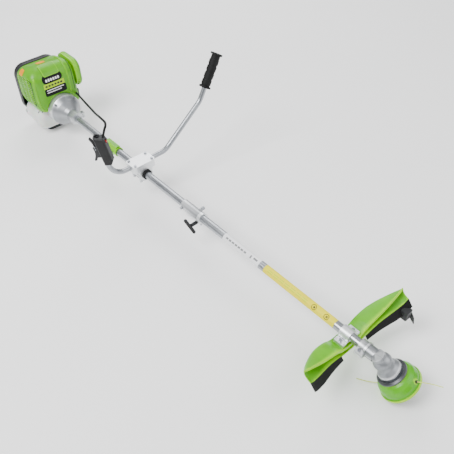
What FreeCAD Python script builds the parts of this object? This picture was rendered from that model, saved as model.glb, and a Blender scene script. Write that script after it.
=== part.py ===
"""Petrol string trimmer with a split shaft and an asymmetric handlebar.

Everything is modelled in a shaft frame first: X runs along the shaft from the engine to the
cutting head and is zero where the shaft tube leaves the clutch housing, Y points to the
operator's left, Z points up and is zero on the shaft's axis.  `save` then moves each piece to
the frame of the finished machine, whose origin lies on the floor under the engine stand.
Lengths are millimetres and angles are degrees.
"""
import FreeCAD, Part
import math
import os

V = FreeCAD.Vector
X = V(1, 0, 0)
Y = V(0, 1, 0)
Z = V(0, 0, 1)

# Shaft tube and drive shaft
TUBE_RADIUS = 13.0
TUBE_WALL = 1.5
DRIVE_SHAFT_RADIUS = 4.0
RUNNING_FIT = 0.05
SLIDE_FIT = 0.08
PART_GAP = 0.4
UPPER_TUBE_END = 688.0
TUBE_JOINT_GAP = 2.0
BUSH_LENGTH = 14.0
BUSH_POSITIONS = (200.0, 560.0)
LOWER_BUSH_POSITIONS = (900.0, 1240.0)
SHAFT_SOCKET_LENGTH = 30.0
SHAFT_SOCKET_RADIUS = 8.0

# Coupler
COUPLER_START = 666.0
COUPLER_END = 760.0
COUPLER_WALL = 4.0
CLAMP_SCREW_X = 741.0
CLAMP_SCREW_RADIUS = 3.0
KNOB_BAR_LENGTH = 56.0
KNOB_BAR_TURN = 24.0
LOCK_PIN_X = 722.0
LOCK_PIN_RADIUS = 3.0

# Engine
BORE = 40.0
STROKE = 34.0
CYLINDER_X = -172.0
ROD_LENGTH = 60.0
ROD_WIDTH = 9.0
CASE_RADIUS = 46.0
CASE_WALL = 7.0
CASE_FRONT = -124.0
CASE_REAR = -216.0
CASE_DECK = 50.0
CRANK_SHAFT_RADIUS = 7.5
BEARING_RADIUS = 17.5
BEARING_WIDTH = 10.0
WEB_RADIUS = 25.0
WEB_WIDTH = 10.0
FIN_RADIUS = 38.0
FIN_COUNT = 7
FIN_PITCH = 8.0
FLYWHEEL_RADIUS = 50.0
FLYWHEEL_WIDTH = 16.0
FLYWHEEL_FRONT = -102.0
BOLT_RADIUS = 2.5

# Engine covers
SHROUD_FRONT = -106.0
SHROUD_REAR = -246.0
SHROUD_RIGHT = -100.0
SHROUD_LEFT = 84.0
SHROUD_TOP = 172.0
SHROUD_BOTTOM = 6.0
COVER_WALL = 2.5
SHROUD_ROUNDING = 26.0
STARTER_DEPTH = 36.0
STARTER_BOTTOM = -48.0
STARTER_TOP = 152.0
AIR_BOX_DEPTH = 9.0
AIR_COVER_DEPTH = 17.0
AIR_COVER_BOTTOM = 56.0
PRIMER_X = -178.0
PRIMER_Z = 30.0
PRIMER_RADIUS = 8.0
CHOKE_X = -128.0
CHOKE_Z = 38.0
PULLEY_RADIUS = 30.0
ROPE_RADIUS = 1.6

# Clutch housing
CLUTCH_FRONT = -32.0
CLUTCH_FLANGE_RADIUS = 62.0
CLUTCH_NECK_RADIUS = 22.0
CLUTCH_WALL = 4.0
DRUM_RADIUS = 39.0
DRUM_WALL = 2.5
TUBE_CLAMP_RADIUS = 24.0
FLANGE_HEAD_RADIUS = 3.6

# Fuel tank and stand
TANK_FRONT = -130.0
TANK_REAR = -284.0
TANK_HALF_WIDTH = 94.0
TANK_TOP = 4.0
TANK_WALL = 2.0
STAND_THICKNESS = 24.0
STAND_LENGTH = 84.0
STAND_WIDTH = 112.0
STAND_CENTRE_X = -205.0

# Handlebar and its clamp
BAR_RADIUS = 9.0
BAR_WALL = 1.5
BAR_X = 428.0
BAR_Z = 32.0
BAR_BEND_RADIUS = 60.0
BAR_RIGHT_BEND_Y = -110.0
BAR_RIGHT_END = V(415.0, -134.0, 192.0)
BAR_LEFT_BEND_Y = 105.0
BAR_LEFT_ELBOW = V(414.0, 279.0, 150.0)
BAR_LEFT_END = V(406.0, 369.0, 292.0)
BRACKET_LENGTH = 56.0
BRACKET_WIDTH = 88.0
BRACKET_CAP_HEIGHT = 12.0
BRACKET_BOTTOM = 24.0
GRIP_LENGTH = 122.0
GRIP_RADIUS = 17.0
GRIP_FLANGE = 21.0

# Throttle handle
HANDLE_LENGTH = 112.0
HANDLE_WIDTH = 32.0
HANDLE_DEPTH = 35.0
HANDLE_WALL = 2.5
HANDLE_TURN = 225.0
TRIGGER_PIVOT = (-38.0, 16.5)
LOCKOUT_PIVOT = (-29.0, 16.5)
CABLE_RADIUS = 4.0
CABLE_ENTRY = (-8.0, -15.5)
CABLE_LEAN = 25.0
CABLE_RISE = 34.0
CABLE_ROUTE = [V(-111, 69.5, 36.1), V(-40, 49, 59), V(30, 28, 80), V(100, 7, 103), V(170, -15, 128),
               V(238, -39, 156), V(298, -62, 188), V(357.5, -81, 214), V(421, -96, 232)]

# Harness clip
CLIP_X = 252.0
CLIP_LENGTH = 74.0
HARNESS_EYE_X = 262.0
HARNESS_EYE_RADIUS = 7.0

# Guard
GUARD_X = 1370.0
GUARD_HALF_WIDTH = 191.0
GUARD_WALL = 3.0
GUARD_BRACKET_X = 1347.0
GUARD_BRACKET_LENGTH = 32.0
GUARD_LIP = 10.0
BRACKET_PLANE = -18.0
SKIRT_DEPTH = 18.0
SKIRT_REACH = 16.0
CUTTER_X = 1405.0
CUTTER_Y = 186.0

# Gear case and cutting head
GEAR_X = 1461.0
GEAR_ANGLE = 57.0
HEAD_ROLL = 22.0
GEAR_CASE_RADIUS = 24.0
GEAR_SOCKET_START = 1392.0
SPINDLE_RADIUS = 5.0
PINION_TEETH = 12
GEAR_TEETH = 21
DRUM_HEAD_RADIUS = 57.4
DRUM_HEAD_BOTTOM = 94.0
DRUM_HEAD_TOP = 50.0
DRUM_HEAD_WALL = 2.5
BUMP_TRAVEL = 5.0
LINE_RADIUS = 1.2
EYELET_Z = -76.0
FRONT_LINE_ANGLE = 21.5
REAR_LINE_ANGLE = 216.0

# Heights of the machine at rest: the head's rim and the stand touch the floor together
AXIS_DROP = math.sin(math.radians(GEAR_ANGLE)) * math.cos(math.radians(HEAD_ROLL))
SHAFT_HEIGHT = DRUM_HEAD_BOTTOM * AXIS_DROP + DRUM_HEAD_RADIUS * math.sqrt(1 - AXIS_DROP ** 2)
TANK_BOTTOM = STAND_THICKNESS - SHAFT_HEIGHT

HEAD_FRAME = FreeCAD.Placement(
    V(GEAR_X, 0, 0),
    FreeCAD.Rotation(X, HEAD_ROLL) * FreeCAD.Rotation(Y, GEAR_ANGLE - 90),
)
NODES = []
GROUPS = {}


# ---------------------------------------------------------------- helpers

def save(name, *solids):
    """Write one sub-part, moved from the shaft frame to the machine's frame."""
    shape = solids[0] if len(solids) == 1 else Part.makeCompound(list(solids))
    shape = shape.copy()
    shape.translate(V(-STAND_CENTRE_X, 0, SHAFT_HEIGHT))
    shape.exportStep(f"parts/{name}.step")
    NODES.append(name)


def gather(name, *solids):
    """Keep solids that share one node until the whole machine is built."""
    GROUPS.setdefault(name, []).extend(solids)


def cyl(axis, radius, start, length):
    """Solid cylinder of `length` from the point `start` along `axis`."""
    return Part.makeCylinder(radius, length, start, axis)


def rod_x(radius, x0, x1, y=0.0, z=0.0):
    """Cylinder along X between two stations."""
    return cyl(X, radius, V(x0, y, z), x1 - x0)


def ring_x(outer, inner, x0, x1, y=0.0, z=0.0):
    """Tube along X between two stations."""
    return rod_x(outer, x0, x1, y, z).cut(rod_x(inner, x0 - 1, x1 + 1, y, z))


def block(x, y, z):
    """Box between pairs of limits on each axis."""
    return Part.makeBox(x[1] - x[0], y[1] - y[0], z[1] - z[0], V(x[0], y[0], z[0]))


def soft_block(x, y, z, radius, pick=None):
    """Box with rounded edges; `pick` chooses the edges by their direction."""
    shape = block(x, y, z)
    edges = [e for e in shape.Edges if pick is None or abs(e.tangentAt(e.FirstParameter).dot(pick)) > 0.9]
    return shape.makeFillet(radius, edges)


def domed_block(x, y, z, corner, edge):
    """Box with rounded corners seen along Y and a rounded edge around its far face."""
    shape = soft_block(x, y, z, corner, Y)
    return shape.makeFillet(edge, [e for e in shape.Edges if abs(e.CenterOfMass.y - y[1]) < 0.5])


def rear_domed_block(x, y, z, corner, edge):
    """Box with rounded corners seen along X and a rounded edge around its rear face."""
    shape = soft_block(x, y, z, corner, X)
    return shape.makeFillet(edge, [e for e in shape.Edges if abs(e.CenterOfMass.x - x[0]) < 0.5])


def end_edges(shape, *stations):
    """Edges that lie across X at the given stations."""
    return [e for e in shape.Edges if any(abs(e.CenterOfMass.x - x) < 0.5 for x in stations)]


def turned(profile, about=X):
    """Solid of revolution about `about` from (station, radius) pairs."""
    side = Z if about == X else X
    points = [about * a + side * r for a, r in profile]
    face = Part.Face(Part.makePolygon(points + [points[0]]))
    return face.revolve(V(0, 0, 0), about, 360)


def fused(shapes):
    """One solid from several that touch."""
    whole = shapes[0]
    for shape in shapes[1:]:
        whole = whole.fuse(shape)
    return whole.removeSplitter()


def rounded_path(points, radii):
    """Wire of straight runs joined by tangent arcs at the inner points."""
    edges = []
    start = points[0]
    for before, corner, after, radius in zip(points, points[1:], points[2:], radii):
        inward = (before - corner).normalize()
        outward = (after - corner).normalize()
        half = inward.getAngle(outward) / 2
        back = radius / math.tan(half)
        middle = (inward + outward).normalize()
        centre = corner + middle * (radius / math.sin(half))
        first = corner + inward * back
        last = corner + outward * back
        edges.append(Part.LineSegment(start, first).toShape())
        edges.append(Part.Arc(first, centre - middle * radius, last).toShape())
        start = last
    edges.append(Part.LineSegment(start, points[-1]).toShape())
    return Part.Wire(edges)


def swept(path, radius):
    """Round bar of `radius` along a wire."""
    first = path.Edges[0]
    start = first.valueAt(first.FirstParameter)
    circle = Part.makeCircle(radius, start, first.tangentAt(first.FirstParameter))
    return path.makePipeShell([Part.Wire(circle)], True, False)


def cord_radii(points):
    """Largest even bend at each inner point of a cord's route."""
    radii = []
    for before, corner, after in zip(points, points[1:], points[2:]):
        run = min((before - corner).Length, (after - corner).Length)
        turn = math.pi - (before - corner).getAngle(after - corner)
        radii.append(0.45 * run / math.tan(turn / 2))
    return radii


def screw(axis, tip, length, radius=BOLT_RADIUS, head=None):
    """Cap screw whose shank starts at `tip` and whose head closes the other end."""
    head_radius = head or radius * 1.9
    shank = cyl(axis, radius, tip, length)
    cap = cyl(axis, head_radius, tip + axis * length, radius * 1.6)
    return shank.fuse(cap)


def in_head(shape):
    """Place a shape modelled about the output spindle; its -Z points to the ground."""
    placed = shape.copy()
    placed.Placement = HEAD_FRAME.multiply(placed.Placement)
    return placed


# ---------------------------------------------------------------- engine

def piston_parts():
    """Piston, wrist pin, connecting rod and crank pin at top dead centre."""
    crank_z = STROKE / 2
    pin_z = crank_z + ROD_LENGTH
    crown = pin_z + 18
    skirt = pin_z - 16
    centre = V(CYLINDER_X, 0, 0)
    piston = cyl(Z, BORE / 2 - RUNNING_FIT, centre + Z * skirt, crown - skirt)
    piston = piston.cut(cyl(Z, BORE / 2 - 3, centre + Z * (skirt - 1), crown - skirt - 4))
    bosses = rod_x(7, CYLINDER_X - BORE / 2 + 2, CYLINDER_X + BORE / 2 - 2, 0, pin_z)
    bosses = bosses.cut(block((CYLINDER_X - 6.5, CYLINDER_X + 6.5), (-9, 9), (pin_z - 9, pin_z + 9)))
    piston = piston.fuse(bosses).cut(rod_x(5 + RUNNING_FIT, CYLINDER_X - BORE,
                                                   CYLINDER_X + BORE, 0, pin_z))
    save("piston", piston)
    wrist_pin = rod_x(5, CYLINDER_X - 16, CYLINDER_X + 16, 0, pin_z)
    half = ROD_WIDTH / 2
    x0, x1 = CYLINDER_X - half, CYLINDER_X + half
    beam = block((x0 + 2, x1 - 2), (-4, 4), (crank_z + 5, pin_z - 4))
    rod = fused([rod_x(10.5, x0, x1, 0, crank_z), rod_x(8, x0, x1, 0, pin_z), beam])
    rod = rod.cut(rod_x(6, x0 - 1, x1 + 1, 0, crank_z))
    rod = rod.cut(rod_x(5 + RUNNING_FIT, x0 - 1, x1 + 1, 0, pin_z))
    save("connecting_rod", rod, wrist_pin, rod_x(6, x0, x1, 0, crank_z))


def crank_parts():
    """Two crank halves on their bearings; the open pivot leaves the crank pin with the rod."""
    gap = ROD_WIDTH / 2 + 0.8
    web_front = CYLINDER_X + gap + WEB_WIDTH
    web_rear = CYLINDER_X - gap - WEB_WIDTH
    front = rod_x(WEB_RADIUS, CYLINDER_X + gap, web_front)
    front = front.fuse(rod_x(CRANK_SHAFT_RADIUS, web_front, FLYWHEEL_FRONT + 12))
    rear = rod_x(WEB_RADIUS, web_rear, CYLINDER_X - gap)
    rear = rear.fuse(rod_x(CRANK_SHAFT_RADIUS, CASE_REAR - 18, web_rear))
    cup = rod_x(18, CASE_REAR - 18, CASE_REAR - 14).fuse(ring_x(18, 14, CASE_REAR - 18, CASE_REAR - 6))
    save("crankshaft", front, rear, cup.cut(rod_x(CRANK_SHAFT_RADIUS, CASE_REAR - 19, CASE_REAR)))
    fit = CRANK_SHAFT_RADIUS + RUNNING_FIT
    gather("upper_bearings",
           ring_x(BEARING_RADIUS, fit, CASE_FRONT - BEARING_WIDTH, CASE_FRONT),
           ring_x(BEARING_RADIUS, fit, CASE_REAR, CASE_REAR + BEARING_WIDTH))


def crankcase():
    """Crankcase with bearing seats, a deck for the cylinder and saddle ribs for the tank."""
    case = rod_x(CASE_RADIUS, CASE_REAR, CASE_FRONT)
    deck = block((CYLINDER_X - 32, CYLINDER_X + 32), (-32, 32), (0, CASE_DECK))
    saddles = [rod_x(CASE_RADIUS + 12, x - 4, x + 4) for x in (CASE_FRONT - 20, CASE_REAR + 20)]
    upper = block((CASE_REAR, CASE_FRONT), (-80, 80), (0, 80))
    saddles = [rib.cut(upper) for rib in saddles]
    flange = ring_x(CLUTCH_FLANGE_RADIUS - 2, FLYWHEEL_RADIUS + 4, CASE_FRONT, FLYWHEEL_FRONT + 6)
    plate = rod_x(CLUTCH_FLANGE_RADIUS - 2, CASE_FRONT - 4, CASE_FRONT)
    whole = fused([case, deck, *saddles, plate, flange])
    cavity = rod_x(CASE_RADIUS - CASE_WALL, CASE_REAR + BEARING_WIDTH + 4, CASE_FRONT - BEARING_WIDTH - 4)
    whole = whole.cut(cavity)
    whole = whole.cut(rod_x(BEARING_RADIUS, CASE_REAR - 1, CASE_REAR + BEARING_WIDTH))
    whole = whole.cut(rod_x(BEARING_RADIUS, CASE_FRONT - BEARING_WIDTH, CASE_FRONT + 1))
    whole = whole.cut(rod_x(CRANK_SHAFT_RADIUS + 2, CASE_REAR - 1, CASE_FRONT + 1))
    whole = whole.cut(cyl(Z, BORE / 2 + PART_GAP, V(CYLINDER_X, 0, 0), CASE_DECK + 1))
    save("crankcase", whole)


def cylinder():
    """Finned cylinder with its ports, exhaust and intake flanges and plug thread."""
    top = CASE_DECK + 62
    barrel = cyl(Z, BORE / 2 + 6, V(CYLINDER_X, 0, CASE_DECK), top - CASE_DECK)
    base = block((CYLINDER_X - 30, CYLINDER_X + 30), (-30, 30), (CASE_DECK, CASE_DECK + 5))
    fins = [cyl(Z, FIN_RADIUS, V(CYLINDER_X, 0, CASE_DECK + 9 + i * FIN_PITCH), 2) for i in range(FIN_COUNT)]
    ports = [block((CYLINDER_X - 17, CYLINDER_X + 17), (-FIN_RADIUS - 4, 0), (62, 86)),
             block((CYLINDER_X - 17, CYLINDER_X + 17), (0, FIN_RADIUS + 4), (54, 78))]
    whole = fused([barrel, base, *fins, *ports])
    whole = whole.cut(cyl(Z, BORE / 2, V(CYLINDER_X, 0, CASE_DECK - 1), 52))
    whole = whole.cut(cyl(V(0, -1, 0), 8, V(CYLINDER_X, 0, 74), FIN_RADIUS + 8))
    whole = whole.cut(cyl(Y, 8, V(CYLINDER_X, 0, 66), FIN_RADIUS + 8))
    whole = whole.cut(cyl(Z, 5, V(CYLINDER_X, 0, 90), 30))
    save("cylinder", whole)
    plug = fused([cyl(Z, 5, V(CYLINDER_X, 0, top - 10), 10), cyl(Z, 8.5, V(CYLINDER_X, 0, top), 8),
                  cyl(Z, 4, V(CYLINDER_X, 0, top + 8), 14)])
    boot = fused([cyl(Z, 9, V(CYLINDER_X, 0, top + 9), 22),
                  cyl(V(-1, 0, 0), 5, V(CYLINDER_X, 0, top + 24), 34)])
    save("spark_plug", plug, boot.cut(cyl(Z, 4, V(CYLINDER_X, 0, top), 22)))


def fuel_and_air():
    """Muffler on the right, carburettor, air box, filter and cover on the left."""
    right = -FIN_RADIUS - 4
    muffler = soft_block((CYLINDER_X - 34, CYLINDER_X + 34), (SHROUD_RIGHT + COVER_WALL + 6, right),
                         (CASE_DECK + 2, 116), 8)
    save("muffler", muffler.cut(soft_block((CYLINDER_X - 32, CYLINDER_X + 32),
                                           (SHROUD_RIGHT + COVER_WALL + 8, right - 2),
                                           (CASE_DECK + 4, 114), 7)))
    left = FIN_RADIUS + 4
    wall = SHROUD_LEFT - COVER_WALL
    carb = block((CYLINDER_X - 20, CYLINDER_X + 20), (left, wall), (52, 84))
    carb = carb.cut(cyl(Y, 8, V(CYLINDER_X, left - 1, 66), wall - left + 2))
    save("carburettor", carb)
    x0, x1 = SHROUD_REAR + 4, SHROUD_FRONT - 4
    z0, z1 = AIR_COVER_BOTTOM, SHROUD_TOP - 8
    y0, y1 = SHROUD_LEFT, SHROUD_LEFT + AIR_BOX_DEPTH
    box = soft_block((x0, x1), (y0, y1), (z0, z1), 38, Y)
    box = box.cut(soft_block((x0 + 3, x1 - 3), (y0 + 3, y1 + 1), (z0 + 3, z1 - 3), 35, Y))
    box = box.cut(cyl(Y, 8, V(CYLINDER_X, y0 - 1, 70), 6))
    save("air_filter_box", box, soft_block((x0 + 5, x1 - 5), (y0 + 3, y1 - 2), (z0 + 5, z1 - 5), 33, Y))
    outer = domed_block((x0 - 2, x1 + 3), (y1, y1 + AIR_COVER_DEPTH), (z0 - 4, z1 + 2), 40, 12)
    inner = domed_block((x0 + 1, x1), (y1 - 1, y1 + AIR_COVER_DEPTH - 3), (z0 - 1, z1 - 1), 37, 9)
    save("air_filter_cover", outer.cut(inner))
    face = SHROUD_LEFT + RUNNING_FIT
    lever = fused([cyl(Y, 6, V(CHOKE_X, face, CHOKE_Z), 4), cyl(Y, 3, V(CHOKE_X, wall - 3, CHOKE_Z), 6),
                   block((CHOKE_X - 4, CHOKE_X + 4), (face, face + 4), (CHOKE_Z - 26, CHOKE_Z))])
    save("choke_lever", lever)
    bulb = cyl(Y, PRIMER_RADIUS, V(PRIMER_X, wall, PRIMER_Z), COVER_WALL + 10)
    save("primer_bulb", bulb.makeFillet(4, [e for e in bulb.Edges if e.CenterOfMass.y > face + 8]))


def shroud():
    """Green engine cover, open below and behind, with side vents and an arch for the clutch."""
    outer = block((SHROUD_REAR, SHROUD_FRONT), (SHROUD_RIGHT, SHROUD_LEFT), (SHROUD_BOTTOM, SHROUD_TOP))
    top_edges = [e for e in outer.Edges
                 if e.CenterOfMass.z > SHROUD_TOP - 1 and e.CenterOfMass.x > SHROUD_REAR + 1]
    outer = outer.makeFillet(SHROUD_ROUNDING, top_edges)
    wall = COVER_WALL
    inner = block((SHROUD_REAR - 1, SHROUD_FRONT - wall), (SHROUD_RIGHT + wall, SHROUD_LEFT - wall),
                  (SHROUD_BOTTOM - 1, SHROUD_TOP - wall))
    inner_edges = [e for e in inner.Edges
                   if e.CenterOfMass.z > SHROUD_TOP - wall - 1 and e.CenterOfMass.x > SHROUD_REAR]
    inner = inner.makeFillet(SHROUD_ROUNDING - wall, inner_edges)
    shell = outer.cut(inner)
    shell = shell.cut(rod_x(CLUTCH_FLANGE_RADIUS + 1, SHROUD_FRONT - wall - 1, SHROUD_FRONT + 1))
    shell = shell.cut(cyl(Y, 9, V(CYLINDER_X, SHROUD_LEFT - wall - 1, 70), wall + 2))
    hole_y = SHROUD_LEFT - wall - 1
    shell = shell.cut(cyl(Y, PRIMER_RADIUS + RUNNING_FIT, V(PRIMER_X, hole_y, PRIMER_Z), wall + 2))
    shell = shell.cut(cyl(Y, 3 + RUNNING_FIT, V(CHOKE_X, hole_y, CHOKE_Z), wall + 2))
    shell = shell.cut(cyl(CABLE_ROUTE[1] - CABLE_ROUTE[0], CABLE_RADIUS, CABLE_ROUTE[0], 14))
    slots = []
    for row in range(12):
        z = 56 + row * 7
        for x0, x1 in ((-232, -196), (-190, -154), (-148, -126)):
            slots.append(block((x0, x1), (SHROUD_RIGHT - 1, SHROUD_RIGHT + wall + 1), (z, z + 3)))
    save("engine_shroud", shell.cut(Part.makeCompound(slots)))


def starter():
    """Recoil starter: housing, pulley on its post, rope and handle."""
    x1 = SHROUD_REAR
    x0 = x1 - STARTER_DEPTH
    outer = rear_domed_block((x0, x1), (SHROUD_RIGHT + 2, SHROUD_LEFT - 2),
                             (STARTER_BOTTOM, STARTER_TOP), 46, 16)
    inner = rear_domed_block((x0 + 3, x1 + 1), (SHROUD_RIGHT + 5, SHROUD_LEFT - 5),
                             (STARTER_BOTTOM + 3, STARTER_TOP - 3), 43, 13)
    post = rod_x(5, x0 + 2, x1 - 14)
    shell = outer.cut(inner).fuse(post)
    rope_z = PULLEY_RADIUS - 3 + ROPE_RADIUS + RUNNING_FIT
    handle_y = SHROUD_LEFT - 2 + PART_GAP
    rope = cyl(Y, ROPE_RADIUS, V(x0 + 14, 0, rope_z), handle_y + 8)
    save("starter_housing", shell.cut(rope))
    pulley = ring_x(PULLEY_RADIUS + 3, 5 + RUNNING_FIT, x0 + 10, x0 + 18)
    groove = ring_x(PULLEY_RADIUS + 4, PULLEY_RADIUS - 3, x0 + 12, x0 + 16)
    save("starter_pulley", pulley.cut(groove), ring_x(16, 12, x0 + 4, x0 + 10))
    save("starter_rope", rope)
    grip = soft_block((x0 + 4, x0 + 24), (handle_y, handle_y + 16), (rope_z - 22, rope_z + 22), 6)
    save("starter_handle", grip.cut(rope))


# ---------------------------------------------------------------- tank, clutch

def tank():
    """Translucent fuel tank saddled under the crankcase, its cap and the stand below."""
    outer = soft_block((TANK_REAR, TANK_FRONT), (-TANK_HALF_WIDTH, TANK_HALF_WIDTH), (TANK_BOTTOM, TANK_TOP),
                       34, X)
    outer = outer.makeFillet(20, end_edges(outer, TANK_REAR, TANK_FRONT))
    w = TANK_WALL
    inner = soft_block((TANK_REAR + w, TANK_FRONT - w), (w - TANK_HALF_WIDTH, TANK_HALF_WIDTH - w),
                       (TANK_BOTTOM + w, TANK_TOP - w), 34 - w, X)
    inner = inner.makeFillet(20 - w, end_edges(inner, TANK_REAR + w, TANK_FRONT - w))
    saddle = CASE_RADIUS + 12
    seat = rod_x(saddle, TANK_REAR - 5, TANK_FRONT + 5)
    rear_seat = block((TANK_REAR - 5, SHROUD_REAR), (-TANK_HALF_WIDTH - 1, TANK_HALF_WIDTH + 1),
                      (STARTER_BOTTOM - 1, TANK_TOP + 1))
    shell_seat = rod_x(saddle + w, TANK_REAR - 5, TANK_FRONT + 5)
    rear_skin = block((TANK_REAR - 5, SHROUD_REAR + w), (-TANK_HALF_WIDTH - 1, TANK_HALF_WIDTH + 1),
                      (STARTER_BOTTOM - 1 - w, TANK_TOP + 1))
    shell = outer.cut(seat).cut(rear_seat)
    hollow = inner.cut(shell_seat).cut(rear_skin)
    neck_z = (TANK_BOTTOM + STARTER_BOTTOM) / 2
    neck = rod_x(13, TANK_REAR - 6, TANK_REAR + w, 50, neck_z)
    bore = rod_x(11, TANK_REAR - 7, TANK_REAR + w + 1, 50, neck_z)
    save("fuel_tank", shell.cut(hollow).fuse(neck).cut(bore))
    cap = ring_x(16, 13 + RUNNING_FIT, TANK_REAR - 12, TANK_REAR - 1, 50, neck_z)
    save("fuel_cap", cap.fuse(rod_x(16, TANK_REAR - 14, TANK_REAR - 7, 50, neck_z)))
    x0 = STAND_CENTRE_X - STAND_LENGTH / 2
    x1 = STAND_CENTRE_X + STAND_LENGTH / 2
    half = STAND_WIDTH / 2
    stand = soft_block((x0, x1), (-half, half), (-SHAFT_HEIGHT, TANK_BOTTOM), 18, Z)
    recess = soft_block((x0 + 14, x1 - 14), (14 - half, half - 14), (3 - SHAFT_HEIGHT, TANK_BOTTOM + 1),
                        6, Z)
    save("engine_stand", stand.cut(recess))


def clutch():
    """Flywheel fan, centrifugal shoes, drum and the cast housing that holds the tube."""
    fan_rear = FLYWHEEL_FRONT - FLYWHEEL_WIDTH
    wheel = rod_x(FLYWHEEL_RADIUS - 10, fan_rear, FLYWHEEL_FRONT)
    blades = []
    for i in range(12):
        blade = block((fan_rear, FLYWHEEL_FRONT - 4), (-1.2, 1.2), (FLYWHEEL_RADIUS - 14, FLYWHEEL_RADIUS))
        blade.rotate(V(0, 0, 0), X, i * 30)
        blades.append(blade)
    wheel = fused([wheel, *blades]).cut(rod_x(CRANK_SHAFT_RADIUS, fan_rear - 1, FLYWHEEL_FRONT + 1))
    save("flywheel_fan", wheel)
    shoe_front = FLYWHEEL_FRONT + 20
    shoes = ring_x(DRUM_RADIUS - DRUM_WALL - 1.5, 14, FLYWHEEL_FRONT + 4, shoe_front)
    slit = block((FLYWHEEL_FRONT, shoe_front + 1), (-1.5, 1.5), (-DRUM_RADIUS, DRUM_RADIUS))
    hub = ring_x(14, CRANK_SHAFT_RADIUS, FLYWHEEL_FRONT, shoe_front - 8)
    spring = ring_x(17, 14, shoe_front + 0.2, shoe_front + 1.4)
    save("clutch_shoes", *shoes.cut(slit).Solids, hub, spring)
    face = shoe_front + 3
    drum = ring_x(DRUM_RADIUS, DRUM_RADIUS - DRUM_WALL, FLYWHEEL_FRONT + 4, face)
    drum = fused([drum, rod_x(DRUM_RADIUS, face, face + 3), rod_x(9, face, CLUTCH_FRONT - 8)])
    save("clutch_drum", drum.cut(rod_x(DRIVE_SHAFT_RADIUS, CLUTCH_FRONT - 26, CLUTCH_FRONT)))
    gather("upper_bearings", ring_x(CLUTCH_NECK_RADIUS - CLUTCH_WALL, 9 + RUNNING_FIT,
                                    CLUTCH_FRONT - 22, CLUTCH_FRONT - 10))
    rear = FLYWHEEL_FRONT + 6
    w = CLUTCH_WALL
    bell = turned([(rear, 0), (rear, CLUTCH_FLANGE_RADIUS), (rear + 10, CLUTCH_FLANGE_RADIUS),
                   (-64, 50), (-46, 34), (CLUTCH_FRONT, CLUTCH_NECK_RADIUS + 3),
                   (CLUTCH_FRONT, 0)])
    hollow = turned([(rear - 1, 0), (rear - 1, CLUTCH_FLANGE_RADIUS - 2 * w),
                     (rear + 10, CLUTCH_FLANGE_RADIUS - 2 * w),
                     (-66, 44), (-56, CLUTCH_NECK_RADIUS - w), (CLUTCH_FRONT - 10, CLUTCH_NECK_RADIUS - w),
                     (CLUTCH_FRONT - 10, 0)])
    clamp = rod_x(TUBE_CLAMP_RADIUS, CLUTCH_FRONT - 1, 0)
    ear = block((-26, -4), (6, TUBE_CLAMP_RADIUS + 14), (-9, 9))
    housing = fused([bell.cut(hollow), clamp, ear])
    housing = housing.cut(rod_x(TUBE_RADIUS, CLUTCH_FRONT - 4, 1))
    housing = housing.cut(rod_x(10, CLUTCH_FRONT - 12, 1))
    housing = housing.cut(block((-27, 1), (TUBE_RADIUS - 2, TUBE_CLAMP_RADIUS + 15), (-1.2, 1.2)))
    housing = housing.cut(cyl(Z, BOLT_RADIUS, V(-15, TUBE_CLAMP_RADIUS + 7, -12), 24))
    housing = housing.cut(Part.makeCompound(flange_bolts(rear - 20, rear + 20, BOLT_RADIUS)))
    housing = housing.cut(Part.makeCompound(flange_bolts(rear + 10.5, rear + 40, FLANGE_HEAD_RADIUS + 0.1)))
    save("clutch_housing", housing)
    gather("upper_bolts", screw(Z, V(-15, TUBE_CLAMP_RADIUS + 7, -9), 18))
    gather("upper_bolts", *[screw(X, V(rear, y, z), 10.5, BOLT_RADIUS, FLANGE_HEAD_RADIUS)
                            for y, z in bolt_circle()])


def bolt_circle():
    """Positions of the four bolts on the clutch housing's flange."""
    radius = CLUTCH_FLANGE_RADIUS - 4.5
    return [(radius * math.cos(a), radius * math.sin(a)) for a in (0.8, 2.34, 3.94, 5.48)]


def flange_bolts(x0, x1, radius):
    """Clearance holes on the clutch housing's bolt circle."""
    return [rod_x(radius, x0, x1, y, z) for y, z in bolt_circle()]


# ---------------------------------------------------------------- shaft

def tubes():
    """Upper and lower tubes with their bushes and the two-piece drive shaft."""
    bore = TUBE_RADIUS - TUBE_WALL
    upper_start = CLUTCH_FRONT - 4
    upper = ring_x(TUBE_RADIUS, bore, upper_start, UPPER_TUBE_END)
    save("upper_tube", upper)
    lower_start = UPPER_TUBE_END + TUBE_JOINT_GAP
    lower_end = GEAR_SOCKET_START + 30
    lower = ring_x(TUBE_RADIUS - SLIDE_FIT, bore, lower_start, lower_end)
    slot = LOCK_PIN_RADIUS + RUNNING_FIT
    lower = lower.cut(cyl(Y, slot, V(LOCK_PIN_X, 5, 0), TUBE_RADIUS))
    lower = lower.cut(block((lower_start - 1, LOCK_PIN_X), (5, TUBE_RADIUS + 1), (-slot, slot)))
    save("lower_tube", lower)
    fit = DRIVE_SHAFT_RADIUS + RUNNING_FIT
    gather("upper_bearings", *[ring_x(bore, fit, x, x + BUSH_LENGTH) for x in BUSH_POSITIONS])
    gather("lower_bearings", *[ring_x(bore, fit, x, x + BUSH_LENGTH) for x in LOWER_BUSH_POSITIONS])
    socket_end = UPPER_TUBE_END - 4
    socket_start = socket_end - SHAFT_SOCKET_LENGTH
    shaft = rod_x(DRIVE_SHAFT_RADIUS, CLUTCH_FRONT - 26, socket_start + 4)
    socket = rod_x(SHAFT_SOCKET_RADIUS, socket_start, socket_end)
    socket = socket.cut(rod_x(DRIVE_SHAFT_RADIUS + 0.1, socket_start + 4, socket_end + 1))
    save("upper_drive_shaft", fused([shaft, socket]))
    gather("lower_drive_shaft", rod_x(DRIVE_SHAFT_RADIUS, socket_start + 5, GEAR_X - 46))


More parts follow.
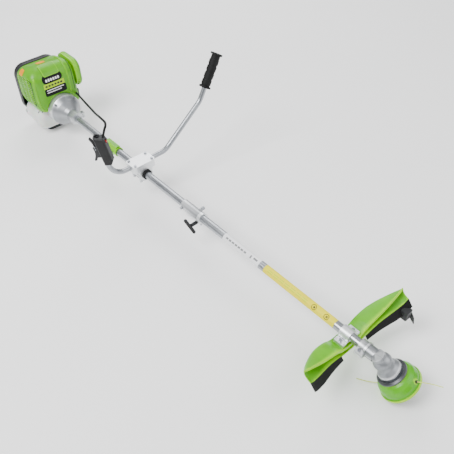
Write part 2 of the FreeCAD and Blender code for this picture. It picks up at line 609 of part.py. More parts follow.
def coupler():
    """Split-shaft coupler: clamped sleeve, T-handle screw, lock pin with its pull and a rivet."""
    outer = TUBE_RADIUS + COUPLER_WALL
    sleeve = rod_x(outer, COUPLER_START, COUPLER_END)
    collar = rod_x(outer + 1.5, COUPLER_END - 12, COUPLER_END)
    lug = soft_block((COUPLER_START + 18, COUPLER_END - 2), (-9, 9), (-outer - 11, -TUBE_RADIUS), 3, X)
    boss = cyl(Y, 7, V(LOCK_PIN_X, TUBE_RADIUS - 4, 0), 12)
    whole = fused([sleeve, collar, lug, boss])
    whole = whole.cut(rod_x(TUBE_RADIUS, COUPLER_START - 1, COUPLER_END + 1))
    whole = whole.cut(block((UPPER_TUBE_END + 1, COUPLER_END + 1), (-1, 1), (-outer - 12, -TUBE_RADIUS + 2)))
    screw_z = -outer - 4
    whole = whole.cut(cyl(Y, CLAMP_SCREW_RADIUS + RUNNING_FIT, V(CLAMP_SCREW_X, -12, screw_z), 24))
    whole = whole.cut(cyl(Y, LOCK_PIN_RADIUS + RUNNING_FIT, V(LOCK_PIN_X, 6, 0), 20))
    pinch_x = COUPLER_START + 8
    whole = whole.cut(cyl(Y, BOLT_RADIUS, V(pinch_x, -outer - 1, 0), 10))
    save("coupler_sleeve", whole)
    gather("upper_bolts", screw(V(0, -1, 0), V(pinch_x, -TUBE_RADIUS, 0), COUPLER_WALL + 1))
    stem = cyl(Y, CLAMP_SCREW_RADIUS, V(CLAMP_SCREW_X, -37, screw_z), 45)
    hub = cyl(Y, 6, V(CLAMP_SCREW_X, -35, screw_z), 23)
    half = KNOB_BAR_LENGTH / 2
    bar_x = (CLAMP_SCREW_X - half, CLAMP_SCREW_X + half)
    bar = soft_block(bar_x, (-45, -35), (screw_z - 6, screw_z + 6), 4.5)
    bar.rotate(V(CLAMP_SCREW_X, 0, screw_z), Y, KNOB_BAR_TURN)
    save("coupler_knob", fused([stem, hub, bar]))
    pin = cyl(Y, LOCK_PIN_RADIUS, V(LOCK_PIN_X, TUBE_RADIUS - TUBE_WALL - 1, 0), 24)
    pull = cyl(Y, 6, V(LOCK_PIN_X, TUBE_RADIUS - TUBE_WALL + 11, 0), 13)
    save("lock_pin", fused([pin, pull]))


# ---------------------------------------------------------------- handlebar

def bar_points():
    """Corner points of the handlebar's centre line, from the right end to the left end."""
    return [BAR_RIGHT_END, V(BAR_X, BAR_RIGHT_BEND_Y, BAR_Z), V(BAR_X, BAR_LEFT_BEND_Y, BAR_Z),
            BAR_LEFT_ELBOW, BAR_LEFT_END]


def handlebar():
    """Bent handlebar tube and its left grip."""
    radii = [BAR_BEND_RADIUS] * 3
    path = rounded_path(bar_points(), radii)
    save("handlebar", swept(path, BAR_RADIUS).cut(swept(path, BAR_RADIUS - BAR_WALL)))
    along = (BAR_LEFT_END - BAR_LEFT_ELBOW).normalize()
    start = BAR_LEFT_END - along * (GRIP_LENGTH - 4)
    grip = cyl(along, GRIP_RADIUS - 1.5, start, GRIP_LENGTH)
    rings = [cyl(along, GRIP_FLANGE, start, 5),
             cyl(along, GRIP_FLANGE, start + along * (GRIP_LENGTH - 6), 6)]
    waves = [cyl(along, GRIP_RADIUS, start + along * s, 16) for s in range(12, int(GRIP_LENGTH) - 20, 24)]
    whole = fused([grip, *rings, *waves])
    save("left_grip", whole.cut(cyl(along, BAR_RADIUS, start - along, GRIP_LENGTH - 3)))


def handlebar_clamp():
    """Cast bracket that clamps the handlebar on the shaft, its caps, bolts and rubber collar."""
    x0, x1 = BAR_X - BRACKET_LENGTH / 2, BAR_X + BRACKET_LENGTH / 2
    half = BRACKET_WIDTH / 2
    wing = soft_block((x0, x1), (-half, half), (TUBE_RADIUS + 3, BAR_Z), 12, Z)
    neck = soft_block((x0, x1), (-26, 26), (0, BAR_Z), 5, X)
    body = fused([wing, neck])
    bar_seat = cyl(Y, BAR_RADIUS, V(BAR_X, -half - 1, BAR_Z), 2 * half + 2)
    body = body.cut(rod_x(TUBE_RADIUS, x0 - 1, x1 + 1)).cut(bar_seat)
    posts = [(x, y) for x in (x0 + 9, x1 - 9) for y in (10 - half, half - 10)]
    for x, y in posts:
        body = body.cut(cyl(Z, BOLT_RADIUS, V(x, y, TUBE_RADIUS), 40))
    low_posts = [(x, y) for x in (x0 + 8, x1 - 8) for y in (-20, 20)]
    for x, y in low_posts:
        body = body.cut(cyl(Z, BOLT_RADIUS, V(x, y, -1), 13))
    cap = soft_block((x0, x1), (-half, half), (BAR_Z, BAR_Z + BRACKET_CAP_HEIGHT), 12, Z)
    cap = cap.cut(bar_seat)
    for x, y in posts:
        cap = cap.cut(cyl(Z, BOLT_RADIUS, V(x, y, TUBE_RADIUS), 60))
    save("bar_bracket_cap", cap)
    belly = soft_block((x0, x1), (-26, 26), (-BRACKET_BOTTOM, BRACKET_BOTTOM), 18, X)
    bosses = [cyl(Z, 6, V(x, y, -BRACKET_BOTTOM), BRACKET_BOTTOM) for x, y in low_posts]
    low = fused([belly.cut(block((x0 - 1, x1 + 1), (-27, 27), (0, BRACKET_BOTTOM + 1))), *bosses])
    low = low.cut(rod_x(TUBE_RADIUS, x0 - 1, x1 + 1))
    for x, y in low_posts:
        low = low.cut(cyl(Z, BOLT_RADIUS, V(x, y, -BRACKET_BOTTOM - 1), BRACKET_BOTTOM + 2))
    save("bar_bracket", body, low)
    top = BAR_Z + BRACKET_CAP_HEIGHT
    gather("upper_bolts", *[screw(Z, V(x, y, TUBE_RADIUS + 6), top - TUBE_RADIUS - 6) for x, y in posts])
    gather("upper_bolts", *[screw(V(0, 0, -1), V(x, y, 11), BRACKET_BOTTOM + 11) for x, y in low_posts])
    gather("tube_rubbers", ring_x(TUBE_RADIUS + 5, TUBE_RADIUS, x1, x1 + 9))


def handle_axes():
    """The handle's own directions: along the bar, toward the levers, and across."""
    bend = V(BAR_X, BAR_RIGHT_BEND_Y, BAR_Z)
    along = (BAR_RIGHT_END - bend).normalize()
    turn = math.radians(HANDLE_TURN)
    levers = V(math.cos(turn), math.sin(turn), 0)
    across = along.cross(levers).normalize()
    return along, across.cross(along).normalize(), across


def handle_plate(outline, across_range):
    """Plate across the handle from (distance along the bar, distance toward the levers) points."""
    along, levers, across = handle_axes()
    base = BAR_RIGHT_END + across * across_range[0]
    points = [base + along * s + levers * d for s, d in outline]
    face = Part.Face(Part.makePolygon(points + [points[0]]))
    return face.extrude(across * (across_range[1] - across_range[0]))


def handle_point(along_bar, toward_levers, sideways=0.0):
    """Point given in the handle's own directions."""
    along, levers, across = handle_axes()
    return BAR_RIGHT_END + along * along_bar + levers * toward_levers + across * sideways


def cable_entry():
    """End of the cable inside the handle, and the direction in which it leaves."""
    along, levers, _ = handle_axes()
    lean = math.radians(CABLE_LEAN)
    return handle_point(*CABLE_ENTRY), along * math.cos(lean) - levers * math.sin(lean)


def handle_shell(name, side):
    """One half of the throttle handle; `side` is -1 or 1 along the across direction."""
    along, _, across = handle_axes()
    half = HANDLE_WIDTH / 2
    w = HANDLE_WALL
    low, high = -HANDLE_LENGTH + 8, 8
    back, face = -HANDLE_DEPTH + 11, 11
    limits = (0, half) if side > 0 else (-half, 0)
    outline = [(low, back + 7), (low, face - 4), (high, face), (high - 8, back + 3), (high - 22, back),
               (low + 12, back)]
    shell = handle_plate(outline, limits)
    edges = [e for e in shell.Edges if abs((e.CenterOfMass - BAR_RIGHT_END).dot(across) - side * half) < 0.5]
    shell = shell.makeFillet(6, edges)
    inner = [(low + w, back + 8), (low + w, face - 4 - w), (high - w, face - w),
             (high - 9 - w, back + 3 + w), (high - 22, back + w), (low + 12, back + w)]
    hollow = handle_plate(inner, (0, half - w) if side > 0 else (w - half, 0))
    sleeve = cyl(along, BAR_RADIUS + 2.5, handle_point(low + 1, 0), HANDLE_LENGTH - 2)
    sleeve = sleeve.common(handle_plate(outline, limits))
    cheek_range = (7, 10) if side > 0 else (-10, -7)
    cheek = handle_plate([(-72, face - 5), (-70, face + 10), (-30, face + 13), (-24, face - 5)], cheek_range)
    shell = shell.cut(hollow).fuse(sleeve).fuse(cheek)
    shell = shell.cut(cyl(along, BAR_RADIUS, handle_point(low - 2, 0), HANDLE_LENGTH + 20))
    entry, leaving = cable_entry()
    shell = shell.cut(cyl(leaving, CABLE_RADIUS, entry - leaving * 6, 40))
    for s, d in (TRIGGER_PIVOT, LOCKOUT_PIVOT):
        shell = shell.cut(cyl(across, 2, handle_point(s, d, -12), 24))
    slot = handle_plate([(-22, back - 1), (-22, back + w + 1), (-8, back + w + 4), (-8, back - 1)], (-4, 4))
    save(name, shell.cut(slot))


def throttle_handle():
    """Two handle shells on the right arm, with trigger, lock-out lever and stop switch."""
    across = handle_axes()[2]
    handle_shell("throttle_handle_right", -1)
    handle_shell("throttle_handle_left", 1)
    s, d = TRIGGER_PIVOT
    blade = handle_plate([(s + 4, d - 3), (s + 4, d + 6), (s - 12, d + 8), (s - 26, d + 11),
                          (s - 46, d + 20), (s - 49, d + 17), (s - 44, d + 10), (s - 26, d + 3),
                          (s - 8, d - 3)], (-5.5, 5.5))
    barrel = cyl(across, 4.5, handle_point(s, d, -6.5), 13)
    hole = cyl(across, 2 + RUNNING_FIT, handle_point(s, d, -8), 16)
    save("throttle_trigger", blade.fuse(barrel).cut(hole))
    s, d = LOCKOUT_PIVOT
    blade = handle_plate([(s - 3, d - 3), (s - 2, d + 5), (s + 12, d + 6), (s + 30, d + 12), (s + 32, d + 8),
                          (s + 14, d), (s + 5, d - 3)], (-4.5, 4.5))
    barrel = cyl(across, 4, handle_point(s, d, -6.5), 13)
    hole = cyl(across, 2 + RUNNING_FIT, handle_point(s, d, -8), 16)
    save("lockout_lever", blade.fuse(barrel).cut(hole))
    for s, d in (TRIGGER_PIVOT, LOCKOUT_PIVOT):
        gather("upper_bolts", cyl(across, 2, handle_point(s, d, -11), 22))
    back = 11 - HANDLE_DEPTH
    slider = [(-20, back - 3), (-20, back + 4), (-14, back + 4), (-14, back - 3)]
    save("stop_switch", handle_plate(slider, (-3.6, 3.6)))


def throttle_cable():
    """Sleeved throttle cable and stop wires from the carburettor side to the handle's top."""
    entry, leaving = cable_entry()
    points = [*CABLE_ROUTE, entry + leaving * CABLE_RISE, entry]
    radii = cord_radii(points)
    path = rounded_path(points, radii)
    cable = swept(path, CABLE_RADIUS)
    share = cable.Volume / (math.pi * CABLE_RADIUS ** 2 * path.Length)
    print("cable bend radii", [round(r, 1) for r in radii])
    print("cable length", round(path.Length, 1), "volume share", round(share, 4))
    save("throttle_cable", cable)


def harness_clip():
    """Lime harness clip on the shaft with its steel eye, a rubber liner and its screw."""
    x0, x1 = CLIP_X - CLIP_LENGTH / 2, CLIP_X + CLIP_LENGTH / 2
    outer = TUBE_RADIUS + 4
    band = ring_x(outer, TUBE_RADIUS + 1, x0, x1)
    ramp = soft_block((x0 + 4, x1 - 4), (-9, 9), (TUBE_RADIUS + 2, TUBE_RADIUS + 9), 3, X)
    ear = block((CLIP_X - 24, CLIP_X + 4), (-7, 7), (-TUBE_RADIUS - 14, -TUBE_RADIUS - 2))
    clip = fused([band, ramp, ear]).cut(rod_x(TUBE_RADIUS + 1, x0 - 1, x1 + 1))
    clip = clip.cut(block((x0 - 1, x1 + 1), (-1, 1), (-TUBE_RADIUS - 15, -TUBE_RADIUS)))
    clip = clip.cut(cyl(Y, BOLT_RADIUS, V(CLIP_X - 10, -8, -TUBE_RADIUS - 8), 16))
    save("harness_clip", clip)
    eye_y = -outer - HARNESS_EYE_RADIUS - 6
    half = HARNESS_EYE_RADIUS + 5
    eye_x = (HARNESS_EYE_X - half, HARNESS_EYE_X + half)
    eye = soft_block(eye_x, (eye_y - half, -TUBE_RADIUS), (-2, 2), 8, Z)
    eye = eye.cut(rod_x(outer, x0, x1)).cut(cyl(Z, HARNESS_EYE_RADIUS, V(HARNESS_EYE_X, eye_y, -3), 6))
    gather("upper_bolts", eye, screw(Y, V(CLIP_X - 10, -7, -TUBE_RADIUS - 8), 14))
    gather("tube_rubbers", ring_x(TUBE_RADIUS + 1, TUBE_RADIUS, x0, x1))


# ---------------------------------------------------------------- guard

GUARD_STATIONS = (
    # share of the half width, lip x, lip z, back x, back z, lower x, lower z
    (0.0, -2.0, -18.5, -50.0, -27.0, 0.0, -42.0),
    (0.18, -2.0, -18.5, -50.0, -26.0, 2.0, -36.0),
    (0.32, 0.0, 2.0, -49.0, -14.0, 5.0, -23.0),
    (0.50, 1.0, 14.0, -46.0, -1.0, 8.0, -12.0),
    (0.66, 2.0, 26.0, -38.0, 8.0, 12.0, -5.0),
    (0.80, 2.0, 38.0, -26.0, 21.0, 16.0, 1.0),
    (0.92, 1.0, 47.0, -13.0, 31.0, 20.0, 10.0),
    (1.0, -2.0, 51.0, 1.0, 38.0, 23.0, 24.0),
)
STATION_STEPS = 4


def guard_stations(first=0.0):
    """Smoothly blended guard stations on the left side, from the share `first` to the tip."""
    rows = GUARD_STATIONS
    blended = []
    for i in range(len(rows) - 1):
        before = rows[max(i - 1, 0)]
        after = rows[min(i + 2, len(rows) - 1)]
        for step in range(STATION_STEPS):
            t = step / STATION_STEPS
            blended.append([hermite(t, a, b, (b - z) / 2, (c - a) / 2)
                            for z, a, b, c in zip(before, rows[i], rows[i + 1], after)])
    blended.append(list(rows[-1]))
    return [row for row in blended if row[0] >= first - 0.001]


def hermite(t, start, end, leave, arrive):
    """Value at `t` on the smooth curve from `start` to `end` with the given end slopes."""
    return ((2 * t ** 3 - 3 * t ** 2 + 1) * start + (t ** 3 - 2 * t ** 2 + t) * leave
            + (3 * t ** 2 - 2 * t ** 3) * end + (t ** 3 - t ** 2) * arrive)


def guard_section(row, side):
    """Closed C-shaped section of the guard's shell at one station."""
    share, lip_x, lip_z, back_x, back_z, low_x, low_z = row
    y = side * share * GUARD_HALF_WIDTH
    lip = V(GUARD_X + lip_x, y, lip_z)
    low = V(GUARD_X + low_x, y, low_z)
    lip_in = lip + V(GUARD_WALL * share ** 2, 0, -GUARD_LIP * (1 - 0.6 * share ** 2))
    low_in = low + Z * GUARD_WALL
    pull_x = GUARD_X + (back_x - (lip_x + low_x) / 8) / 0.75
    upper = V(pull_x, y, lip_z + (back_z - lip_z) * 0.4)
    lower = V(pull_x, y, low_z + (back_z - low_z) * 0.4)
    inward = V(GUARD_WALL / 0.75, 0, 0)
    outside = Part.BezierCurve()
    outside.setPoles([lip, upper, lower, low])
    inside = Part.BezierCurve()
    inside.setPoles([low_in, lower + inward + Z * GUARD_WALL, upper + inward - Z * GUARD_WALL, lip_in])
    return Part.Wire([outside.toShape(), Part.LineSegment(low, low_in).toShape(),
                      inside.toShape(), Part.LineSegment(lip_in, lip).toShape()])


def skirt_section(row, side):
    """Section of the rubber skirt that carries on from the guard's lower edge."""
    share, low_x, low_z = row[0], row[5], row[6]
    low = V(GUARD_X + low_x, side * share * GUARD_HALF_WIDTH, low_z)
    growth = min(1.0, 0.25 + share)
    reach = V(SKIRT_REACH * growth, 0, -SKIRT_DEPTH * growth)
    points = [low, low + Z * GUARD_WALL, low + Z * GUARD_WALL + reach, low + reach]
    return Part.makePolygon(points + [points[0]])


def guard():
    """Saddle-shaped guard and its skirts, and the bracket and bolts that hold it on the shaft."""
    right = [guard_section(row, -1) for row in reversed(guard_stations(0.01))]
    left = [guard_section(row, 1) for row in guard_stations()]
    shell = Part.makeLoft(right + left, True, True)
    x0, x1 = GUARD_BRACKET_X - GUARD_BRACKET_LENGTH / 2, GUARD_BRACKET_X + GUARD_BRACKET_LENGTH / 2
    pad = block((x0, x1), (-34, 34), (-34, BRACKET_PLANE))
    room = rod_x(TUBE_RADIUS + 5, x0 - 60, x1 + 60)
    shell = fused([shell, pad]).cut(room)
    posts = [(GUARD_BRACKET_X, y) for y in (-25, 25)]
    for x, y in posts:
        shell = shell.cut(cyl(Z, BOLT_RADIUS, V(x, y, -46), 36))
    save("guard", shell)
    skirts = [Part.makeLoft([skirt_section(row, side) for row in guard_stations(0.22)], True, True)
              for side in (-1, 1)]
    save("guard_skirts", *skirts)
    saddle = rod_x(TUBE_RADIUS + 5, x0, x1)
    wings = block((x0, x1), (-34, 34), (BRACKET_PLANE, BRACKET_PLANE + 10))
    bracket = fused([saddle, wings]).cut(rod_x(TUBE_RADIUS, x0 - 1, x1 + 1))
    bracket = bracket.cut(block((x0 - 1, x1 + 1), (-20, 20), (-30, -11)))
    for x, y in posts:
        bracket = bracket.cut(cyl(Z, BOLT_RADIUS, V(x, y, -30), 40))
    save("guard_bracket", bracket)
    gather("lower_bolts", *[screw(Z, V(x, y, -32), BRACKET_PLANE + 42) for x, y in posts])
    line_cutter(skirts[1].fuse(shell))


def line_cutter(neighbours):
    """Line-cutter holder under the left skirt, with its claw-shaped blade and two screws."""
    inner_y = CUTTER_Y - 24
    mount = soft_block((CUTTER_X - 11, CUTTER_X + 11), (inner_y, CUTTER_Y), (-26, 4), 3, Z).cut(neighbours)
    mount = max(mount.Solids, key=lambda solid: solid.Volume)
    outline = [(-10, -10), (9, -10), (20, -26), (24, -46), (8, -32), (-4, -33), (-20, -56), (-17, -28)]
    points = [V(CUTTER_X + x, CUTTER_Y, z) for x, z in outline]
    blade = Part.Face(Part.makePolygon(points + [points[0]])).extrude(Y * 3)
    holes = Part.makeCompound([cyl(Y, 2, V(CUTTER_X + x, inner_y + 6, -18), 40) for x in (-8, 6)])
    save("line_cutter", mount.cut(holes), blade.cut(holes))
    gather("lower_bolts", *[screw(Y, V(CUTTER_X + x, inner_y + 6, -18), 21, 2.0) for x in (-8, 6)])


# ---------------------------------------------------------------- gear case and head

def gear_case():
    """Angled gear case, its gears, bearings and screws."""
    socket = rod_x(TUBE_RADIUS + 5, GEAR_SOCKET_START, GEAR_X - 22)
    collar = rod_x(TUBE_RADIUS + 7.5, GEAR_SOCKET_START + 18, GEAR_SOCKET_START + 24)
    body = Part.makeSphere(GEAR_CASE_RADIUS + 1, V(GEAR_X, 0, 0))
    neck = in_head(turned([(-34, 0), (-34, 32), (-29, 32),
                           (-18, GEAR_CASE_RADIUS), (8, GEAR_CASE_RADIUS - 1),
                           (14, GEAR_CASE_RADIUS - 5), (27, GEAR_CASE_RADIUS - 6), (27, 0)], Z))
    ear = block((GEAR_SOCKET_START + 2, GEAR_SOCKET_START + 26),
                (-TUBE_RADIUS - 16, -TUBE_RADIUS - 2), (-8, 8))
    whole = fused([socket, collar, body, neck, ear])
    whole = whole.cut(rod_x(TUBE_RADIUS - SLIDE_FIT, GEAR_SOCKET_START - 1, GEAR_SOCKET_START + 30))
    whole = whole.cut(rod_x(11, GEAR_SOCKET_START, GEAR_X - 4))
    whole = whole.cut(in_head(cyl(Z, 14, V(0, 0, -35), 58)))
    whole = whole.cut(Part.makeSphere(18, V(GEAR_X, 0, 0)))
    whole = whole.cut(block((GEAR_SOCKET_START - 1, GEAR_SOCKET_START + 27),
                            (-TUBE_RADIUS - 17, -TUBE_RADIUS + 2),
                            (-1.2, 1.2)))
    whole = whole.cut(cyl(Z, BOLT_RADIUS, V(GEAR_SOCKET_START + 12, -TUBE_RADIUS - 10, -12), 24))
    save("gear_case", whole)
    gather("lower_bolts", screw(Z, V(GEAR_SOCKET_START + 12, -TUBE_RADIUS - 10, -8), 16))
    gather("lower_bearings", *[ring_x(11, 5 + RUNNING_FIT, x, x + 7) for x in (GEAR_X - 38, GEAR_X - 29)])
    shaft = rod_x(5, GEAR_X - 46, GEAR_X - 18)
    pinion_angle, gear_angle = pitch_angles()
    teeth = turned([(GEAR_X - 19, 0), (GEAR_X - 19, 19 * math.tan(pinion_angle)),
                    (GEAR_X - 12, 12 * math.tan(pinion_angle)), (GEAR_X - 12, 0)])
    gather("lower_drive_shaft", fused([shaft, teeth]))
    gather("lower_bearings", in_head(ring_z(14, SPINDLE_RADIUS + RUNNING_FIT, -33, -23)),
           in_head(ring_z(14, SPINDLE_RADIUS + RUNNING_FIT, 17, 23)))
    gear = turned([(8, 0), (8, 8 * math.tan(gear_angle)), (16, 16 * math.tan(gear_angle)), (16, 0)], Z)
    save("bevel_gear", in_head(gear.cut(cyl(Z, SPINDLE_RADIUS, V(0, 0, 0), 20))))


def pitch_angles():
    """Pitch cone angles of pinion and gear, whose cones roll on each other."""
    between = math.radians(GEAR_ANGLE)
    pinion = math.atan2(math.sin(between), GEAR_TEETH / PINION_TEETH + math.cos(between))
    return pinion, between - pinion


def ring_z(outer, inner, z0, z1):
    """Tube along Z between two heights."""
    return cyl(Z, outer, V(0, 0, z0), z1 - z0).cut(cyl(Z, inner, V(0, 0, z0 - 1), z1 - z0 + 2))


def head():
    """Output spindle, collars, bump-feed head with its spool, knob, spring and lines."""
    top = -DRUM_HEAD_TOP
    bottom = -DRUM_HEAD_BOTTOM
    rim = DRUM_HEAD_RADIUS
    w = DRUM_HEAD_WALL
    upper = turned([(-40, 0), (-40, 33), (-35, 33), (-35, 0)], Z)
    save("output_spindle", in_head(fused([cyl(Z, SPINDLE_RADIUS, V(0, 0, top - 12), 34 - top), upper])))
    lower = turned([(top, 0), (top, 36), (-47, 41.5), (-43, 41.5), (-40, 37), (-40, 0)], Z)
    save("head_collar", in_head(lower.cut(cyl(Z, SPINDLE_RADIUS, V(0, 0, -70), 60))))
    outside = [(top, 0), (top, 39), (top - 5, 45), (top - 14, 51), (top - 26, 54), (bottom + 7, 54.2),
               (bottom + 6, rim), (bottom, rim), (bottom, 0)]
    inside = [(top - w, 0), (top - w, 37.5), (top - 6 - w, 43), (top - 15 - w, 48.5), (top - 26, 51.5),
              (bottom - 1, 51.5), (bottom - 1, 0)]
    dome = turned(outside, Z).cut(turned(inside, Z))
    dome = dome.cut(cyl(Z, SPINDLE_RADIUS, V(0, 0, top - 10), 20))
    eyelets = [cyl(V(c, s, 0), 4, V(46 * c, 46 * s, EYELET_Z), 14) for c, s in line_directions()]
    save("head_housing", in_head(dome.cut(Part.makeCompound(eyelets))))
    rings = []
    for eyelet, (c, s) in zip(eyelets, line_directions()):
        hole = cyl(V(c, s, 0), LINE_RADIUS, V(40 * c, 40 * s, EYELET_Z), 24)
        shell = turned([(EYELET_Z - 6, 50.5), (EYELET_Z - 6, 56.5),
                        (EYELET_Z + 6, 56.5), (EYELET_Z + 6, 50.5)], Z)
        rings.append(in_head(eyelet.common(shell).cut(hole)))
    knob_rim = 24.0
    cover = ring_z(51.5, knob_rim + PART_GAP, bottom + 0.5, bottom + 3.5)
    save("head_cover", in_head(cover), *rings)
    spool = turned([(bottom + 5, 0), (bottom + 5, 40), (bottom + 8, 40), (bottom + 8, 18), (bottom + 22, 18),
                    (bottom + 22, 40), (bottom + 25, 40), (bottom + 25, 0)], Z)
    spool = spool.cut(cyl(Z, 10, V(0, 0, bottom + 12), 20))
    wound = ring_z(34, 18, bottom + 8, bottom + 22)
    spring = ring_z(9.5, 7.5, bottom + 12, top - w - BUMP_TRAVEL - 1)
    save("line_spool", *[in_head(solid) for solid in (spool, wound, spring)])
    knob = turned([(bottom - 8, 0), (bottom - 8, knob_rim - 6),
                   (bottom - 5, knob_rim - 1), (bottom, knob_rim),
                   (bottom + 5, knob_rim), (bottom + 5, 0)], Z)
    save("bump_knob", in_head(knob))


def line_directions():
    """Directions in which the two lines leave the head, as cosine and sine."""
    angles = [math.radians(a) for a in (FRONT_LINE_ANGLE, REAR_LINE_ANGLE)]
    return [(math.cos(a), math.sin(a)) for a in angles]


def cutting_lines():
    """The two nylon lines from the eyelets outward."""
    front, rear = line_directions()
    runs = [(front, ((44, 0), (76, 0), (100, -3), (122, -11))),
            (rear, ((44, 0), (64, 0), (84, 10), (106, 27)))]
    for (c, s), run in runs:
        points = [V(c * r, s * r, EYELET_Z + rise) for r, rise in run]
        radii = cord_radii(points)
        print("line bend radii", [round(r, 1) for r in radii])
        gather("cutting_lines", in_head(swept(rounded_path(points, radii), LINE_RADIUS)))


def main():
    """Build every sub-part of the trimmer."""
    os.makedirs("parts", exist_ok=True)
    crankcase()
    crank_parts()
    piston_parts()
    cylinder()
    fuel_and_air()
    shroud()
    starter()
    tank()
    clutch()
    tubes()
    coupler()
    handlebar()
    handlebar_clamp()
    throttle_handle()
    throttle_cable()
    harness_clip()
    guard()
    gear_case()
    head()
    cutting_lines()
    for name, solids in GROUPS.items():
        save(name, *solids)
    print(len(NODES), "nodes, shaft height", round(SHAFT_HEIGHT, 2))


main()
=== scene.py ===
"""Petrol string trimmer: finishes, covers and markings around its CAD frame.

The CAD frame gives the shape of almost every piece.  This script dresses each piece with the
finish of its real material, and builds the engine's covers, markings and trim in mesh code.
All lengths are metres in the machine's own frame: +X along the shaft to the cutting head,
+Y to the operator's left and +Z up.
"""
import logging
import math
from dataclasses import dataclass
from enum import Enum

import bmesh
import bpy
from mathutils import Matrix, Vector
from mathutils.bvhtree import BVHTree

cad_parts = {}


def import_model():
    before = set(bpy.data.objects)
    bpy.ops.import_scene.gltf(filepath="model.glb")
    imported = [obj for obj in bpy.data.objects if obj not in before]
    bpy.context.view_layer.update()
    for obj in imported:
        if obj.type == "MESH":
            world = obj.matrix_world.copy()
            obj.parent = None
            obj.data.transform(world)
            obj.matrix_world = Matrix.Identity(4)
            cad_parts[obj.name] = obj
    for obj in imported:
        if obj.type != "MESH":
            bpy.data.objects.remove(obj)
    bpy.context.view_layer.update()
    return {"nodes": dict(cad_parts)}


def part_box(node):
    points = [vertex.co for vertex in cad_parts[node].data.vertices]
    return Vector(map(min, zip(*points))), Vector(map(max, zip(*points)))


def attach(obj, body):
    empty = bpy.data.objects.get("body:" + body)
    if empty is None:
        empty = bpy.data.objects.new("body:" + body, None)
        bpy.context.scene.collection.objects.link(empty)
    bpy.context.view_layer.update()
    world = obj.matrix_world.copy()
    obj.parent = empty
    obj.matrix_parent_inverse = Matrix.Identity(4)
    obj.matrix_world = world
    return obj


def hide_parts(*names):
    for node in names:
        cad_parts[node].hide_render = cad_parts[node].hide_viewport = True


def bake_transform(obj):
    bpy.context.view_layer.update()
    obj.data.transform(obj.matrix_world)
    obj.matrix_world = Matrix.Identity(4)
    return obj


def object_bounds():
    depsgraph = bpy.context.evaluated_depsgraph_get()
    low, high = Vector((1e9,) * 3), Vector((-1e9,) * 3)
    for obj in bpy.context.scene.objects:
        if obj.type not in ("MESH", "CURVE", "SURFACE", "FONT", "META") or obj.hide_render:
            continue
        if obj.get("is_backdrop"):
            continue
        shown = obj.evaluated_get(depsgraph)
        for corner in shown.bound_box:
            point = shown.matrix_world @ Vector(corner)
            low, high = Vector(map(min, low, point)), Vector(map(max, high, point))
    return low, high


LOG = logging.getLogger("trimmer")
MM = 0.001
AXIS_HEIGHT = 0.1091852
SHAFT_ZERO_X = 0.205
CRISP_EDGE_DEG = 80.0
SUBSURFACE_DEPTH = 0.004
COAT_ROUGHNESS = 0.12
FLOOR_SIZE = 30.0
FLOOR_DROP = 0.0005
LAMP_TARGET = (0.8, 0.0, 0.15)
HORIZON_COLOUR = "6E7276"
ZENITH_COLOUR = "FAFBFC"
SKY_STRENGTH = 0.9
LABEL_SINK_MM = 0.3


def linear(hex_colour: str) -> tuple[float, float, float, float]:
    """Turn an sRGB hex colour into linear RGBA.

    Args:
        hex_colour: Six hex digits.

    Returns:
        Linear red, green, blue and an alpha of one.
    """
    parts = [int(hex_colour[i:i + 2], 16) / 255 for i in (0, 2, 4)]
    values = [c / 12.92 if c <= 0.04045 else ((c + 0.055) / 1.055) ** 2.4 for c in parts]
    return (*values, 1.0)


def on_shaft(x: float, y: float, z: float) -> Vector:
    """Place a point that is given from the clutch housing's mouth, on the shaft's axis.

    Args:
        x: Millimetres along the shaft, toward the head.
        y: Millimetres to the left.
        z: Millimetres up.

    Returns:
        The point in the machine's frame.
    """
    return Vector((x * MM + SHAFT_ZERO_X, y * MM, z * MM + AXIS_HEIGHT))


def add_node(tree: bpy.types.NodeTree, kind: str, links: dict | None = None,
             **settings) -> bpy.types.Node:
    """Add one shader node with its settings and incoming links.

    Args:
        tree: Node tree to add to.
        kind: Node type name.
        links: Input name or index to the output socket that feeds it.
        **settings: Node properties, or input defaults under the input's name with
            underscores for spaces.

    Returns:
        The new node.
    """
    node = tree.nodes.new(kind)
    for name, value in settings.items():
        if hasattr(node, name):
            setattr(node, name, value)
        else:
            node.inputs[name.replace("_", " ")].default_value = value
    for name, socket in (links or {}).items():
        tree.links.new(socket, node.inputs[name])
    return node


